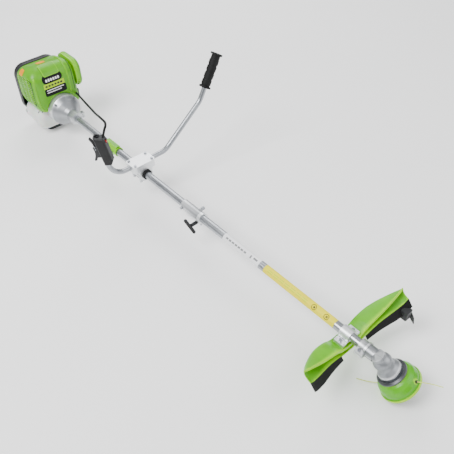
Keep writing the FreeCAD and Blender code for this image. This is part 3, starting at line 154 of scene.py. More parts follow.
@dataclass(frozen=True)
class Finish:
    """A real material and how its surface was made.

    Attributes:
        label: Name of the material in Blender.
        colour: Main sRGB colour.
        variation: Second sRGB colour that shows in broad soft patches.
        metallic: One for bare metal.
        roughness: Mean roughness.
        roughness_spread: How far roughness wanders across the surface.
        grain_mm: Size of the fine surface grain.
        grain_depth_mm: Height of that grain.
        patch_mm: Size of the broad colour patches.
        ior: Index of refraction of a non-metal.
        coat: Weight of a clear glossy skin.
        glow: Subsurface weight for translucent plastics.
        wear: Lighter tint where convex edges are rubbed.
        stretch: Direction scale of the grain, for brushed and drawn surfaces.
    """

    label: str
    colour: str
    variation: str
    metallic: float = 0.0
    roughness: float = 0.4
    roughness_spread: float = 0.08
    grain_mm: float = 1.2
    grain_depth_mm: float = 0.05
    patch_mm: float = 60.0
    ior: float = 1.5
    coat: float = 0.0
    glow: float = 0.0
    wear: str = ""
    stretch: tuple[float, float, float] = (1.0, 1.0, 1.0)

    def build(self) -> bpy.types.Material:
        """Make the material's node tree once and return it on every later call.

        Returns:
            The Blender material.
        """
        known = bpy.data.materials.get(self.label)
        if known:
            return known
        material = bpy.data.materials.new(self.label)
        material.use_nodes = True
        tree = material.node_tree
        tree.nodes.clear()
        place = add_node(tree, "ShaderNodeTexCoord").outputs["Object"]
        mapping = add_node(tree, "ShaderNodeMapping", {"Vector": place}, Scale=self.stretch)
        patches = add_node(tree, "ShaderNodeTexNoise", {"Vector": place},
                           Scale=1 / (self.patch_mm * MM), Detail=3.0, Roughness=0.55)
        grain = add_node(tree, "ShaderNodeTexNoise", {"Vector": mapping.outputs["Vector"]},
                         Scale=1 / (self.grain_mm * MM), Detail=2.0, Roughness=0.5)
        soft = add_node(tree, "ShaderNodeMapRange", {"Value": patches.outputs["Fac"]},
                        From_Min=0.35, From_Max=0.65)
        colour = add_node(tree, "ShaderNodeMix", {"Factor": soft.outputs["Result"]},
                          data_type="RGBA")
        colour.inputs[6].default_value = linear(self.colour)
        colour.inputs[7].default_value = linear(self.variation)
        shade = colour.outputs[2]
        if self.wear:
            shade = self.rubbed_edges(tree, shade)
        rough = add_node(tree, "ShaderNodeMapRange", {"Value": grain.outputs["Fac"]},
                         To_Min=max(0.02, self.roughness - self.roughness_spread),
                         To_Max=min(1.0, self.roughness + self.roughness_spread))
        bump = add_node(tree, "ShaderNodeBump", {"Height": grain.outputs["Fac"]},
                        Distance=self.grain_depth_mm * MM, Strength=0.8)
        shader = add_node(tree, "ShaderNodeBsdfPrincipled",
                          {"Base Color": shade, "Roughness": rough.outputs["Result"],
                           "Normal": bump.outputs["Normal"]},
                          Metallic=self.metallic, Coat_Weight=self.coat,
                          Coat_Roughness=COAT_ROUGHNESS, Subsurface_Weight=self.glow,
                          Subsurface_Scale=SUBSURFACE_DEPTH)
        if not self.metallic:
            shader.inputs["IOR"].default_value = self.ior
        out = add_node(tree, "ShaderNodeOutputMaterial")
        tree.links.new(shader.outputs["BSDF"], out.inputs["Surface"])
        return material

    def rubbed_edges(self, tree: bpy.types.NodeTree,
                     shade: bpy.types.NodeSocket) -> bpy.types.NodeSocket:
        """Lighten the colour on convex edges, where hands and cloths rub.

        Args:
            tree: The material's node tree.
            shade: Colour before wear.

        Returns:
            Colour after wear.
        """
        form = add_node(tree, "ShaderNodeNewGeometry")
        edge = add_node(tree, "ShaderNodeMapRange", {"Value": form.outputs["Pointiness"]},
                        From_Min=0.52, From_Max=0.58)
        worn = add_node(tree, "ShaderNodeMix", {"Factor": edge.outputs["Result"]}, data_type="RGBA")
        tree.links.new(shade, worn.inputs[6])
        worn.inputs[7].default_value = linear(self.wear)
        return worn.outputs[2]


class Stuff(Enum):
    """Every finish on the machine."""

    # Gloss ABS, injection moulded: saturated lime with soft broad reflections.
    LIME_ABS = Finish("lime_abs", "529800", "5CA800", roughness=0.34, ior=1.4, wear="7CC400",
                      grain_mm=1.6, grain_depth_mm=0.02)
    # Polypropylene guard, thin enough that light glows through it.
    LIME_GUARD = Finish("lime_polypropylene", "52A000", "62B400", roughness=0.38, ior=1.38,
                        glow=0.08, wear="9CDC00", grain_depth_mm=0.03)
    # Glass-filled nylon head, moulded and polished by wear.
    LIME_NYLON = Finish("lime_nylon", "4A9E00", "56AC00", roughness=0.26, ior=1.42, wear="9CDC00",
                        grain_depth_mm=0.02)
    # Die-cast aluminium, shot-blasted: pale grey and faintly grainy.
    CAST_ALUMINIUM = Finish("cast_aluminium", "A2A5A8", "8C8F93", metallic=0.85, roughness=0.40,
                            grain_mm=1.4, grain_depth_mm=0.12, wear="E2E4E6")
    # Drawn aluminium tube: bright, with fine lines along its length.
    DRAWN_TUBE = Finish("drawn_aluminium", "A9ACB0", "999CA1", metallic=0.92, roughness=0.28,
                        grain_mm=1.0, grain_depth_mm=0.03, stretch=(0.05, 1.0, 1.0))
    # Glass-filled nylon, moulded with a fine spark texture: charcoal with a dull sheen.
    BLACK_NYLON = Finish("black_nylon", "0B0B0C", "111113", roughness=0.5, ior=1.36, grain_mm=0.9,
                         grain_depth_mm=0.06, wear="2A2B2D")
    # Nitrile rubber, matt from its mould.
    RUBBER = Finish("nitrile_rubber", "070708", "0C0C0D", roughness=0.66, ior=1.36, grain_mm=1.0,
                    grain_depth_mm=0.05)
    # Blow-moulded polythene, milky and a little translucent.
    TANK_POLYTHENE = Finish("milky_polythene", "E6E7E3", "D6D8D2", roughness=0.38, glow=0.35,
                            grain_depth_mm=0.04)
    # Zinc-plated steel: cool and bright, with patchy plating.
    PLATED_STEEL = Finish("plated_steel", "A0A4A9", "878B91", metallic=1.0, roughness=0.3,
                          grain_mm=0.8, grain_depth_mm=0.02, patch_mm=8.0)
    # Black oxide steel: near black with a low oily sheen.
    BLACK_STEEL = Finish("black_oxide_steel", "0C0D0E", "141517", metallic=0.6, roughness=0.36,
                         grain_depth_mm=0.02, wear="5A5C60")
    # Monofilament nylon: pale yellow-green and slightly clear.
    NYLON_LINE = Finish("monofilament", "D3E26A", "C4D653", roughness=0.25, glow=0.2,
                        grain_depth_mm=0.005)
    # Laid polyester rope: matt, off-white with a fine fibre.
    ROPE = Finish("polyester_rope", "C9C6BC", "B6B2A6", roughness=0.8, grain_mm=0.6,
                  grain_depth_mm=0.12, stretch=(1.0, 0.2, 1.0))
    # Red ABS for the stop switch.
    RED_ABS = Finish("red_abs", "A80C08", "B8140E", roughness=0.3, coat=0.2, grain_depth_mm=0.01)
    # Orange ABS inlays.
    ORANGE_ABS = Finish("orange_abs", "E38B00", "E99300", roughness=0.36, ior=1.36,
                        grain_depth_mm=0.01)
    # Glazed alumina.
    GLAZED_CERAMIC = Finish("glazed_alumina", "EFEEE8", "E6E4DC", roughness=0.15, coat=0.4,
                            grain_depth_mm=0.005)
    # Printed vinyl labels: ink under a clear film.
    BLACK_FILM = Finish("black_label_film", "050505", "0A0A0B", roughness=0.4, ior=1.3,
                        grain_depth_mm=0.004)
    LIME_FILM = Finish("lime_label_film", "AAD000", "B2D804", roughness=0.4, ior=1.3,
                       grain_depth_mm=0.004)
    WHITE_FILM = Finish("white_label_film", "F2F2F3", "EAEAEC", roughness=0.36, ior=1.36,
                        grain_depth_mm=0.004)
    YELLOW_FILM = Finish("yellow_label_film", "EFE200", "E6D800", roughness=0.42, ior=1.3,
                         grain_depth_mm=0.004)
    GREY_INK = Finish("grey_label_ink", "6E7072", "7A7C7E", roughness=0.3, grain_depth_mm=0.004)
    # Painted highlight: bright yellow-green on thin moulded edges, where they catch the light.
    LIME_PAINTED_HIGHLIGHT = Finish("lime_painted_highlight", "A0D000", "AEDA00", roughness=0.34, ior=1.38, glow=0.1,
                        grain_depth_mm=0.01)
    # Dark green: painted shade in the cover's seam and behind the vents, and printed ink for the
    # label's dashes.
    DARK_SHADE_AND_INK = Finish("dark_shade_and_ink", "20301A", "1A2616", roughness=0.6)


DRESSING: dict[Stuff, tuple[str, ...]] = {
    Stuff.LIME_ABS: ("engine_shroud", "air_filter_cover", "air_filter_box", "harness_clip"),
    Stuff.LIME_GUARD: ("guard",),
    Stuff.LIME_NYLON: ("head_housing",),
    Stuff.CAST_ALUMINIUM: ("crankcase", "cylinder", "carburettor", "clutch_housing",
                           "coupler_sleeve", "bar_bracket", "bar_bracket_cap", "gear_case",
                           "guard_bracket", "flywheel_fan", "piston"),
    Stuff.DRAWN_TUBE: ("upper_tube", "lower_tube", "handlebar"),
    Stuff.BLACK_NYLON: ("starter_housing", "starter_pulley", "starter_handle", "choke_lever",
                        "throttle_handle_left", "throttle_handle_right", "throttle_trigger",
                        "lockout_lever", "engine_stand", "fuel_cap", "coupler_knob", "bump_knob",
                        "head_cover", "line_cutter"),
    Stuff.RUBBER: ("left_grip", "tube_rubbers", "throttle_cable", "primer_bulb", "guard_skirts",
                   "starter_rope"),
    Stuff.TANK_POLYTHENE: ("fuel_tank",),
    Stuff.PLATED_STEEL: ("upper_bolts", "lower_bolts", "upper_bearings", "lower_bearings",
                         "bevel_gear", "lower_drive_shaft", "upper_drive_shaft", "crankshaft",
                         "connecting_rod", "clutch_drum", "clutch_shoes", "output_spindle",
                         "lock_pin"),
    Stuff.BLACK_STEEL: ("muffler", "head_collar"),
    Stuff.NYLON_LINE: ("cutting_lines", "line_spool"),
    Stuff.RED_ABS: ("stop_switch",),
    Stuff.GLAZED_CERAMIC: ("spark_plug",),
}


@dataclass
class Studio:
    """Camera, floor and soft lights.

    Attributes:
        eye: Camera position.
        right: Camera's own right direction.
        up: Camera's own up direction.
        back: Direction from the object to the camera.
        lens_mm: Focal length on a 36 mm sensor.
    """

    eye: tuple[float, float, float] = (2.0393, -0.8137, 1.3677)
    right: tuple[float, float, float] = (0.6591, 0.7519, -0.0166)
    up: tuple[float, float, float] = (-0.5141, 0.4665, 0.7198)
    back: tuple[float, float, float] = (0.549, -0.4659, 0.694)
    lens_mm: float = 46.51

    def camera(self) -> None:
        """Place the camera and make it the scene's."""
        data = bpy.data.cameras.new("camera")
        data.lens = self.lens_mm
        data.sensor_width = 36.0
        eye = bpy.data.objects.new("camera", data)
        turn = Matrix((self.right, self.up, self.back)).transposed()
        eye.matrix_world = Matrix.Translation(self.eye) @ turn.to_4x4()
        bpy.context.scene.collection.objects.link(eye)
        bpy.context.scene.camera = eye

    def floor(self) -> None:
        """Lay the plain pale floor."""
        low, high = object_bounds()
        centre = (low + high) / 2
        place = (centre.x, centre.y, -FLOOR_DROP)
        bpy.ops.mesh.primitive_plane_add(size=FLOOR_SIZE, location=place)
        floor = bpy.context.object
        floor.name = "floor"
        paint = Finish("studio_floor", "FEFEFE", "FCFCFC", roughness=0.9, roughness_spread=0.02,
                       grain_depth_mm=0.0, patch_mm=900)
        floor.data.materials.append(paint.build())
        floor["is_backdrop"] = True

    def light(self, name: str, place: tuple[float, float, float], size: float,
              power: float) -> None:
        """Add one soft square lamp that faces the machine's middle.

        Args:
            name: Lamp name.
            place: Position of the lamp.
            size: Edge length of the lamp.
            power: Power in watts.
        """
        data = bpy.data.lights.new(name, "AREA")
        data.size = size
        data.energy = power
        lamp = bpy.data.objects.new(name, data)
        lamp.location = place
        aim = Vector(LAMP_TARGET) - Vector(place)
        lamp.rotation_mode = "QUATERNION"
        lamp.rotation_quaternion = aim.to_track_quat("-Z", "Y")
        bpy.context.scene.collection.objects.link(lamp)

    def build(self) -> None:
        """Set up camera, floor, lamps and a pale surround."""
        self.camera()
        self.floor()
        self.light("key", (0.6, -2.4, 3.4), 2.0, 200)
        self.light("fill", (3.4, 1.4, 2.2), 3.0, 60)
        self.light("rim", (-1.6, 1.8, 2.6), 2.4, 90)
        world = bpy.data.worlds.new("surround")
        world.use_nodes = True
        tree = world.node_tree
        place = add_node(tree, "ShaderNodeTexCoord").outputs["Generated"]
        height = add_node(tree, "ShaderNodeSeparateXYZ", {"Vector": place}).outputs["Z"]
        rise = add_node(tree, "ShaderNodeMapRange", {"Value": height}, From_Min=0.02, From_Max=0.7)
        sky = add_node(tree, "ShaderNodeMix", {"Factor": rise.outputs["Result"]}, data_type="RGBA")
        sky.inputs[6].default_value = linear(HORIZON_COLOUR)
        sky.inputs[7].default_value = linear(ZENITH_COLOUR)
        backdrop = tree.nodes["Background"]
        tree.links.new(sky.outputs[2], backdrop.inputs["Color"])
        backdrop.inputs["Strength"].default_value = SKY_STRENGTH
        bpy.context.scene.world = world
        LOG.info("studio ready")


def make_piece(name: str, mesh: bmesh.types.BMesh, stuff: Stuff, body: str | None,
               smooth_deg: float = 35.0) -> bpy.types.Object:
    """Turn a mesh into a dressed piece that rides on a body.

    Args:
        name: Piece name.
        mesh: Finished mesh in the machine's frame; it is freed here.
        stuff: Finish of the piece.
        body: CAD body that it moves with, or nothing to leave it on no body.
        smooth_deg: Edges sharper than this stay crisp.

    Returns:
        The new object.
    """
    bmesh.ops.recalc_face_normals(mesh, faces=mesh.faces)
    for face in mesh.faces:
        face.smooth = True
    for edge in mesh.edges:
        if len(edge.link_faces) == 2 and edge.calc_face_angle(0) > math.radians(smooth_deg):
            edge.smooth = False
    data = bpy.data.meshes.new(name)
    mesh.to_mesh(data)
    mesh.free()
    data.materials.append(stuff.value.build())
    piece = bpy.data.objects.new(name, data)
    bpy.context.scene.collection.objects.link(piece)
    if body:
        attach(piece, body)
    LOG.info("piece %s: %d faces", name, len(data.polygons))
    return piece


# ---------------------------------------------------------------- shared mesh code

def loft(rings: list[list[Vector]], cap_first: bool = True,
         cap_last: bool = True) -> bmesh.types.BMesh:
    """Skin a row of closed outlines that have the same number of points.

    Args:
        rings: Outlines in order along the piece.
        cap_first: Close the first outline with a face.
        cap_last: Close the last outline with a face.

    Returns:
        A new mesh.
    """
    mesh = bmesh.new()
    rows = [[mesh.verts.new(point) for point in ring] for ring in rings]
    count = len(rows[0])
    for lower, upper in zip(rows, rows[1:]):
        for i in range(count):
            j = (i + 1) % count
            mesh.faces.new((lower[i], lower[j], upper[j], upper[i]))
    if cap_first:
        mesh.faces.new(list(reversed(rows[0])))
    if cap_last:
        mesh.faces.new(rows[-1])
    return mesh


def bead(points: list[Vector], radius: float, sides: int = 10) -> bmesh.types.BMesh:
    """Round bead along a row of points.

    Args:
        points: Centre line.
        radius: Bead radius in metres.
        sides: Points round the bead.

    Returns:
        A new mesh.
    """
    rings = []
    for i, point in enumerate(points):
        ahead = points[min(i + 1, len(points) - 1)] - points[max(i - 1, 0)]
        turn = ahead.to_track_quat("Z", "Y")
        taper = 0.55 if i in (0, len(points) - 1) else 1.0
        rings.append([point + turn @ Vector((math.cos(a), math.sin(a), 0)) * radius * taper
                      for a in (2 * math.pi * k / sides for k in range(sides))])
    return loft(rings)


def join_meshes(parts: list[bmesh.types.BMesh]) -> bmesh.types.BMesh:
    """Put several meshes in one, and free them.

    Args:
        parts: Meshes to gather.

    Returns:
        One mesh with every part.
    """
    whole = bmesh.new()
    for part in parts:
        data = bpy.data.meshes.new("part")
        part.to_mesh(data)
        part.free()
        whole.from_mesh(data)
        bpy.data.meshes.remove(data)
    return whole


@dataclass
class Drape:
    """A rectangle laid on a surface and thickened, for labels, pads and inlays.

    Attributes:
        tree: Search tree of the surface.
        centre: Point above the surface's middle, in metres.
        across: Direction of the width.
        upward: Direction of the height.
        lift: Height above the surface in millimetres.
    """

    tree: BVHTree
    centre: Vector
    across: Vector
    upward: Vector
    lift: float = 0.5

    def land(self, u: float, v: float) -> tuple[Vector, Vector]:
        """Find where a point of the flat rectangle meets the surface.

        Args:
            u: Millimetres along the width.
            v: Millimetres along the height.

        Returns:
            The point and the surface's normal there.
        """
        down = -self.across.cross(self.upward).normalized()
        start = self.centre + self.across * (u * MM) + self.upward * (v * MM)
        hit, normal, _, _ = self.tree.ray_cast(start, down)
        if hit is None:
            hit, normal = start + down * 0.02, -down
        return hit, normal if normal.dot(down) < 0 else -normal

    def panel(self, width: tuple[float, float], height: tuple[float, float], corner: float = 0.0,
              steps: int = 14) -> bmesh.types.BMesh:
        """Rounded rectangle that follows the surface, with side walls.

        Args:
            width: First and last millimetre across.
            height: First and last millimetre up.
            corner: Corner radius in millimetres.
            steps: Grid steps each way.

        Returns:
            A closed mesh.
        """
        u0, u1 = width
        v0, v1 = height
        mesh = bmesh.new()
        top, base = [], []
        for i in range(steps + 1):
            v = v0 + (v1 - v0) * i / steps
            edge = max(0.0, corner - min(v - v0, v1 - v))
            pull = corner - math.sqrt(max(0.0, corner ** 2 - edge ** 2))
            top_row, base_row = [], []
            for j in range(steps + 1):
                u = u0 + pull + (u1 - u0 - 2 * pull) * j / steps
                hit, normal = self.land(u, v)
                top_row.append(mesh.verts.new(hit + normal * self.lift * MM))
                base_row.append(mesh.verts.new(hit - normal * LABEL_SINK_MM * MM))
            top.append(top_row)
            base.append(base_row)
        for i in range(steps):
            for j in range(steps):
                mesh.faces.new((top[i][j], top[i][j + 1], top[i + 1][j + 1], top[i + 1][j]))
                mesh.faces.new((base[i][j], base[i + 1][j], base[i + 1][j + 1], base[i][j + 1]))
        rim = [(0, j) for j in range(steps)] + [(i, steps) for i in range(steps)]
        rim += [(steps, j) for j in range(steps, 0, -1)] + [(i, 0) for i in range(steps, 0, -1)]
        for (a, b), (c, d) in zip(rim, rim[1:] + rim[:1]):
            mesh.faces.new((top[a][b], base[a][b], base[c][d], top[c][d]))
        return mesh


# ---------------------------------------------------------------- engine

@dataclass
class EngineCover:
    """Rounded lime engine cover with side vents, a clutch arch, a corner rib and its label.

    Sizes are millimetres from the clutch housing's mouth, on the shaft's axis.
    """

    rear_x: float = -246.0
    front_x: float = -106.0
    right_y: float = -100.0
    left_y: float = 84.0
    bottom_z: float = 6.0
    top_z: float = 172.0
    crown: float = 46.0
    front_lean: float = 7.0
    belly: float = 15.0
    rear_fall: float = 20.0
    wall: float = 2.5
    arch_radius: float = 63.0
    outline_points: int = 120
    body: str = "engine_unit"
    vent_columns: tuple[tuple[float, float, float], ...] = (
        (-230.0, 22.0, 3.4), (-200.0, 26.0, 3.8), (-168.0, 25.0, 4.4), (-140.0, 19.0, 5.0))
    vent_rows: int = 12
    vent_foot: float = 40.0
    vent_pitch: float = 8.6
    vent_tilt_deg: float = -9.0
    belly_z: float = 60.0

    def outline(self, z: float) -> list[Vector]:
        """Plan outline at one height.

        Args:
            z: Height in millimetres.

        Returns:
            Closed outline, first point toward +X, turning toward +Y.
        """
        spring = self.top_z - self.crown
        rise = max(0.0, min(z - spring, self.crown))
        inset = self.crown - math.sqrt(self.crown ** 2 - rise ** 2)
        below = max(0.0, self.belly_z - z) / (self.belly_z - self.bottom_z)
        lean = self.front_lean * (z - self.bottom_z) / (self.top_z - self.bottom_z)
        front = self.front_x - lean - inset
        rear = self.rear_x + 0.12 * inset
        right = self.right_y + inset * 0.9 + self.belly * below ** 2
        left = self.left_y - inset * 0.55
        middle = Vector(((front + rear) / 2, (left + right) / 2, 0))
        points = []
        for k in range(self.outline_points):
            angle = 2 * math.pi * k / self.outline_points
            c, s = math.cos(angle), math.sin(angle)
            power = 2 / (14.0 if c < 0 else 4.4 if s < 0 else 8.0)
            x = middle.x + math.copysign(abs(c) ** power, c) * (front - rear) / 2
            y = middle.y + math.copysign(abs(s) ** power, s) * (left - right) / 2
            share = max(0.0, (z - self.belly_z) / (self.top_z - self.belly_z))
            fall = self.rear_fall * max(0.0, (front - x) / (front - rear)) ** 1.5
            points.append(on_shaft(x, y, z - fall * share))
        return points

    def heights(self) -> list[float]:
        """Choose the heights of the outlines, closer together on the crown.

        Returns:
            Heights in millimetres, from the bottom up.
        """
        spring = self.top_z - self.crown
        straight = [self.bottom_z + (spring - self.bottom_z) * i / 16 for i in range(16)]
        return straight + [spring + self.crown * math.sin(math.pi / 2 * i / 14) for i in range(15)]

    def shell(self) -> bpy.types.Object:
        """Build the hollow cover with its vents and arch cut through.

        Returns:
            The finished cover.
        """
        rings = [self.outline(z) for z in self.heights()]
        crown = rings[-1]
        centre = sum(crown, Vector()) / len(crown)
        for share in (0.8, 0.55, 0.3):
            rings.append([centre + (point - centre) * share for point in crown])
        skin = loft(rings, cap_first=False)
        cover = make_piece("engine_cover", skin, Stuff.LIME_ABS, self.body, 50)
        thick = cover.modifiers.new("wall", "SOLIDIFY")
        thick.thickness = self.wall * MM
        thick.offset = 1.0 if self.normals_point_in(cover) else -1.0
        cutter = self.cutter()
        cut = cover.modifiers.new("openings", "BOOLEAN")
        cut.object = cutter
        cut.operation = "DIFFERENCE"
        cut.solver = "EXACT"
        settle(cover)
        bpy.data.objects.remove(cutter)
        return cover

    def normals_point_in(self, cover: bpy.types.Object) -> bool:
        """Tell whether the open shell's faces look inward.

        Args:
            cover: The shell before it gets its wall.

        Returns:
            True where they do.
        """
        top = max(cover.data.polygons, key=lambda face: face.center.z)
        return top.normal.z < 0

    def cutter(self) -> bpy.types.Object:
        """Gather the solids that cut the vents, the clutch arch and the controls' holes.

        Returns:
            One object that holds them all.
        """
        parts = []
        for x, length, height in self.vent_columns:
            for row in range(self.vent_rows):
                z = self.vent_foot + row * self.vent_pitch
                parts.append(self.slot(x - (z - 80) * 0.06, z + (x + 185) * 0.10, length, height))
        arch = bmesh.new()
        bmesh.ops.create_cone(arch, cap_ends=True, segments=96, radius1=self.arch_radius * MM,
                              radius2=self.arch_radius * MM, depth=30 * MM)
        bmesh.ops.transform(arch, matrix=Matrix.Translation(on_shaft(self.front_x, 0, 0))
                            @ Matrix.Rotation(math.pi / 2, 4, "Y"), verts=arch.verts)
        parts.append(arch)
        parts += [self.side_hole("primer_bulb", 1.2), self.side_hole("choke_lever", 0.6)]
        data = bpy.data.meshes.new("cutter")
        whole = join_meshes(parts)
        bmesh.ops.recalc_face_normals(whole, faces=whole.faces)
        whole.to_mesh(data)
        whole.free()
        cutter = bpy.data.objects.new("cutter", data)
        bpy.context.scene.collection.objects.link(cutter)
        return cutter

    def side_hole(self, node: str, spare: float) -> bmesh.types.BMesh:
        """Round hole through the left wall for a control's neck or bulb.

        Args:
            node: CAD node that passes through the wall.
            spare: Clearance round it in millimetres.

        Returns:
            A closed cylinder.
        """
        low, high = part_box(node)
        reach = min(high.x - low.x, high.z - low.z) / 2 + spare * MM
        middle = Vector(((low.x + high.x) / 2, self.left_y * MM, (low.z + high.z) / 2))
        drum = bmesh.new()
        bmesh.ops.create_cone(drum, cap_ends=True, segments=48, radius1=reach, radius2=reach,
                              depth=60 * MM)
        bmesh.ops.transform(drum, verts=drum.verts, matrix=Matrix.Translation(middle)
                            @ Matrix.Rotation(math.pi / 2, 4, "X"))
        return drum

    def slot(self, x: float, z: float, length: float, height: float) -> bmesh.types.BMesh:
        """One slanted vent with round ends, through the right wall.

        Args:
            x: Middle of the vent.
            z: Middle height.
            length: Length along the slope.
            height: Height across it.

        Returns:
            A closed prism.
        """
        tilt = math.radians(self.vent_tilt_deg)
        rings = []
        for y in (self.right_y - 6, self.right_y + 24):
            ring = []
            for k in range(12):
                angle = 2 * math.pi * k / 12
                c = math.cos(angle)
                u = c * height / 2 + math.copysign((length - height) / 2, c)
                v = math.sin(angle) * height / 2
                ring.append(on_shaft(x + u * math.cos(tilt) - v * math.sin(tilt), y,
                                     z + u * math.sin(tilt) + v * math.cos(tilt)))
            rings.append(ring)
        return loft(rings)

    def painted_vent_shade(self) -> bmesh.types.BMesh:
        """Make the dark sheet close behind the vents, painted shade so that they read as dark
        holes.

        Returns:
            A closed thin sheet.
        """
        rings = []
        for inset in (4.5, 6.0):
            ring = []
            for x, z in ((-243, 36), (-128, 36), (-128, 138), (-243, 122)):
                ring.append(on_shaft(x, self.right_y + inset, z))
            rings.append(ring)
        return loft(rings)

    def corner_trim(self) -> None:
        """Build the rib down the front right corner, the vents' painted-shade sheet and two screws.
        """
        points = []
        for i in range(24):
            z = 10 + i * 6.0
            ring = self.outline(z)
            corner = ring[int(len(ring) * 0.878)]
            middle = sum(ring, Vector()) / len(ring)
            points.append(corner + (middle - corner).normalized() * 3.2 * MM)
        rib = bead(points, 6.0 * MM, 16)
        make_piece("cover_rib", rib, Stuff.LIME_ABS, self.body, CRISP_EDGE_DEG)
        # The dark sheet behind the vents is painted shade.
        make_piece("vent_painted_shade", join_meshes([self.painted_vent_shade()]), Stuff.DARK_SHADE_AND_INK, self.body)
        screws = []
        for x, y, z in ((-112.0, -84.0, 16.0), (-128.0, -92.0, 12.0)):
            start = on_shaft(x, y, z)
            screws.append(bead([start, start + Vector((0.006, -0.006, 0.0))], 3.2 * MM, 16))
        make_piece("cover_screws", join_meshes(screws), Stuff.BLACK_STEEL, self.body)

    def seams(self, tree: BVHTree) -> None:
        """Raised ridge, and a thin dark bead of painted shade along the seam, that run beside the
        air filter cover.

        Args:
            tree: Search tree of the cover.
        """
        # The thin dark bead is painted shade for the gap beside the air filter cover.
        lines = (("cover_ridge", 50.0, 3.4, Stuff.LIME_ABS),
                 ("cover_seam_painted_shade", 68.0, 1.5, Stuff.DARK_SHADE_AND_INK))
        for name, y, radius, stuff in lines:
            points = []
            for i in range(32):
                angle = math.radians(-28 + i * 4.2)
                middle = on_shaft(-186, y, 96)
                out = Vector((math.cos(angle), 0, math.sin(angle)))
                hit, _, _, _ = tree.ray_cast(middle + out * 0.3, -out)
                if hit:
                    points.append(hit)
            make_piece(name, bead(points, radius * MM, 12), stuff, self.body, CRISP_EDGE_DEG)

    def label(self, tree: BVHTree) -> None:
        """Three-band label with generic bars on the front face.

        Args:
            tree: Search tree of the cover.
        """
        front = Drape(tree, on_shaft(-60, -9, 105), Vector((0, 1, 0)), Vector((0, 0, 1)), 0.5)
        bands = (("label_top", (-46, 36), (13.5, 46), 15.0, Stuff.BLACK_FILM),
                 ("label_band", (-46, 40), (-6, 13), 0.0, Stuff.LIME_FILM),
                 ("label_foot", (-46, 44), (-37, -6.5), 6.0, Stuff.BLACK_FILM))
        for name, width, height, corner, stuff in bands:
            make_piece(name, front.panel(width, height, corner), stuff, self.body)
        marks = Drape(tree, front.centre, front.across, front.upward, 0.9)
        pale = [marks.panel((-34 + i * 10, -27 + i * 10), (21, 31), 1.0, 3) for i in range(6)]
        pale += [marks.panel((-38, 34 - i * 10), (-15 - i * 9, -12 - i * 9), 0.5, 6)
                 for i in range(2)]
        make_piece("label_bars", join_meshes(pale), Stuff.WHITE_FILM, self.body)
        dark = [marks.panel((-40 + i * 12.5, -31 + i * 12.5), (0, 7), 1.0, 3) for i in range(6)]
        make_piece("label_dashes", join_meshes(dark), Stuff.DARK_SHADE_AND_INK, self.body)

    def inlays(self, tree: BVHTree) -> None:
        """Two orange inlays and the raised top panel.

        Args:
            tree: Search tree of the cover.
        """
        north, west = Vector((0, 1, 0)), Vector((-1, 0, 0))
        top = Drape(tree, on_shaft(-196, -12, 240), north, west, 1.2)
        make_piece("inlay_top", top.panel((-17, 17), (-13, 13), 7.0), Stuff.ORANGE_ABS, self.body)
        tilt = Vector((0, 0.72, 0.69)).normalized()
        side = Drape(tree, on_shaft(-205, -128, 190), tilt, west, 1.2)
        make_piece("inlay_side", side.panel((-13, 13), (-15, 15), 7.0), Stuff.ORANGE_ABS, self.body)
        slope = Vector((-0.8, 0, 0.6)).normalized()
        step = Drape(tree, on_shaft(-80, -14, 220), north, slope, 3.4)
        panel = step.panel((-30, 34), (-16, 34), 4.0, 20)
        make_piece("top_panel", panel, Stuff.LIME_ABS, self.body)

    def build(self) -> None:
        """Build the cover and everything on it, and stand it for the CAD cover."""
        cover = self.shell()
        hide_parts("engine_shroud")
        tree = BVHTree.FromObject(cover, bpy.context.evaluated_depsgraph_get())
        self.corner_trim()
        self.seams(tree)
        self.label(tree)
        self.inlays(tree)


def settle(piece: bpy.types.Object) -> None:
    """Apply a piece's modifiers to its mesh.

    Args:
        piece: Object whose modifiers are applied.
    """
    graph = bpy.context.evaluated_depsgraph_get()
    graph.update()
    data = bpy.data.meshes.new_from_object(piece.evaluated_get(graph), depsgraph=graph)
    piece.modifiers.clear()
    piece.data = data


# ---------------------------------------------------------------- guard and head trim

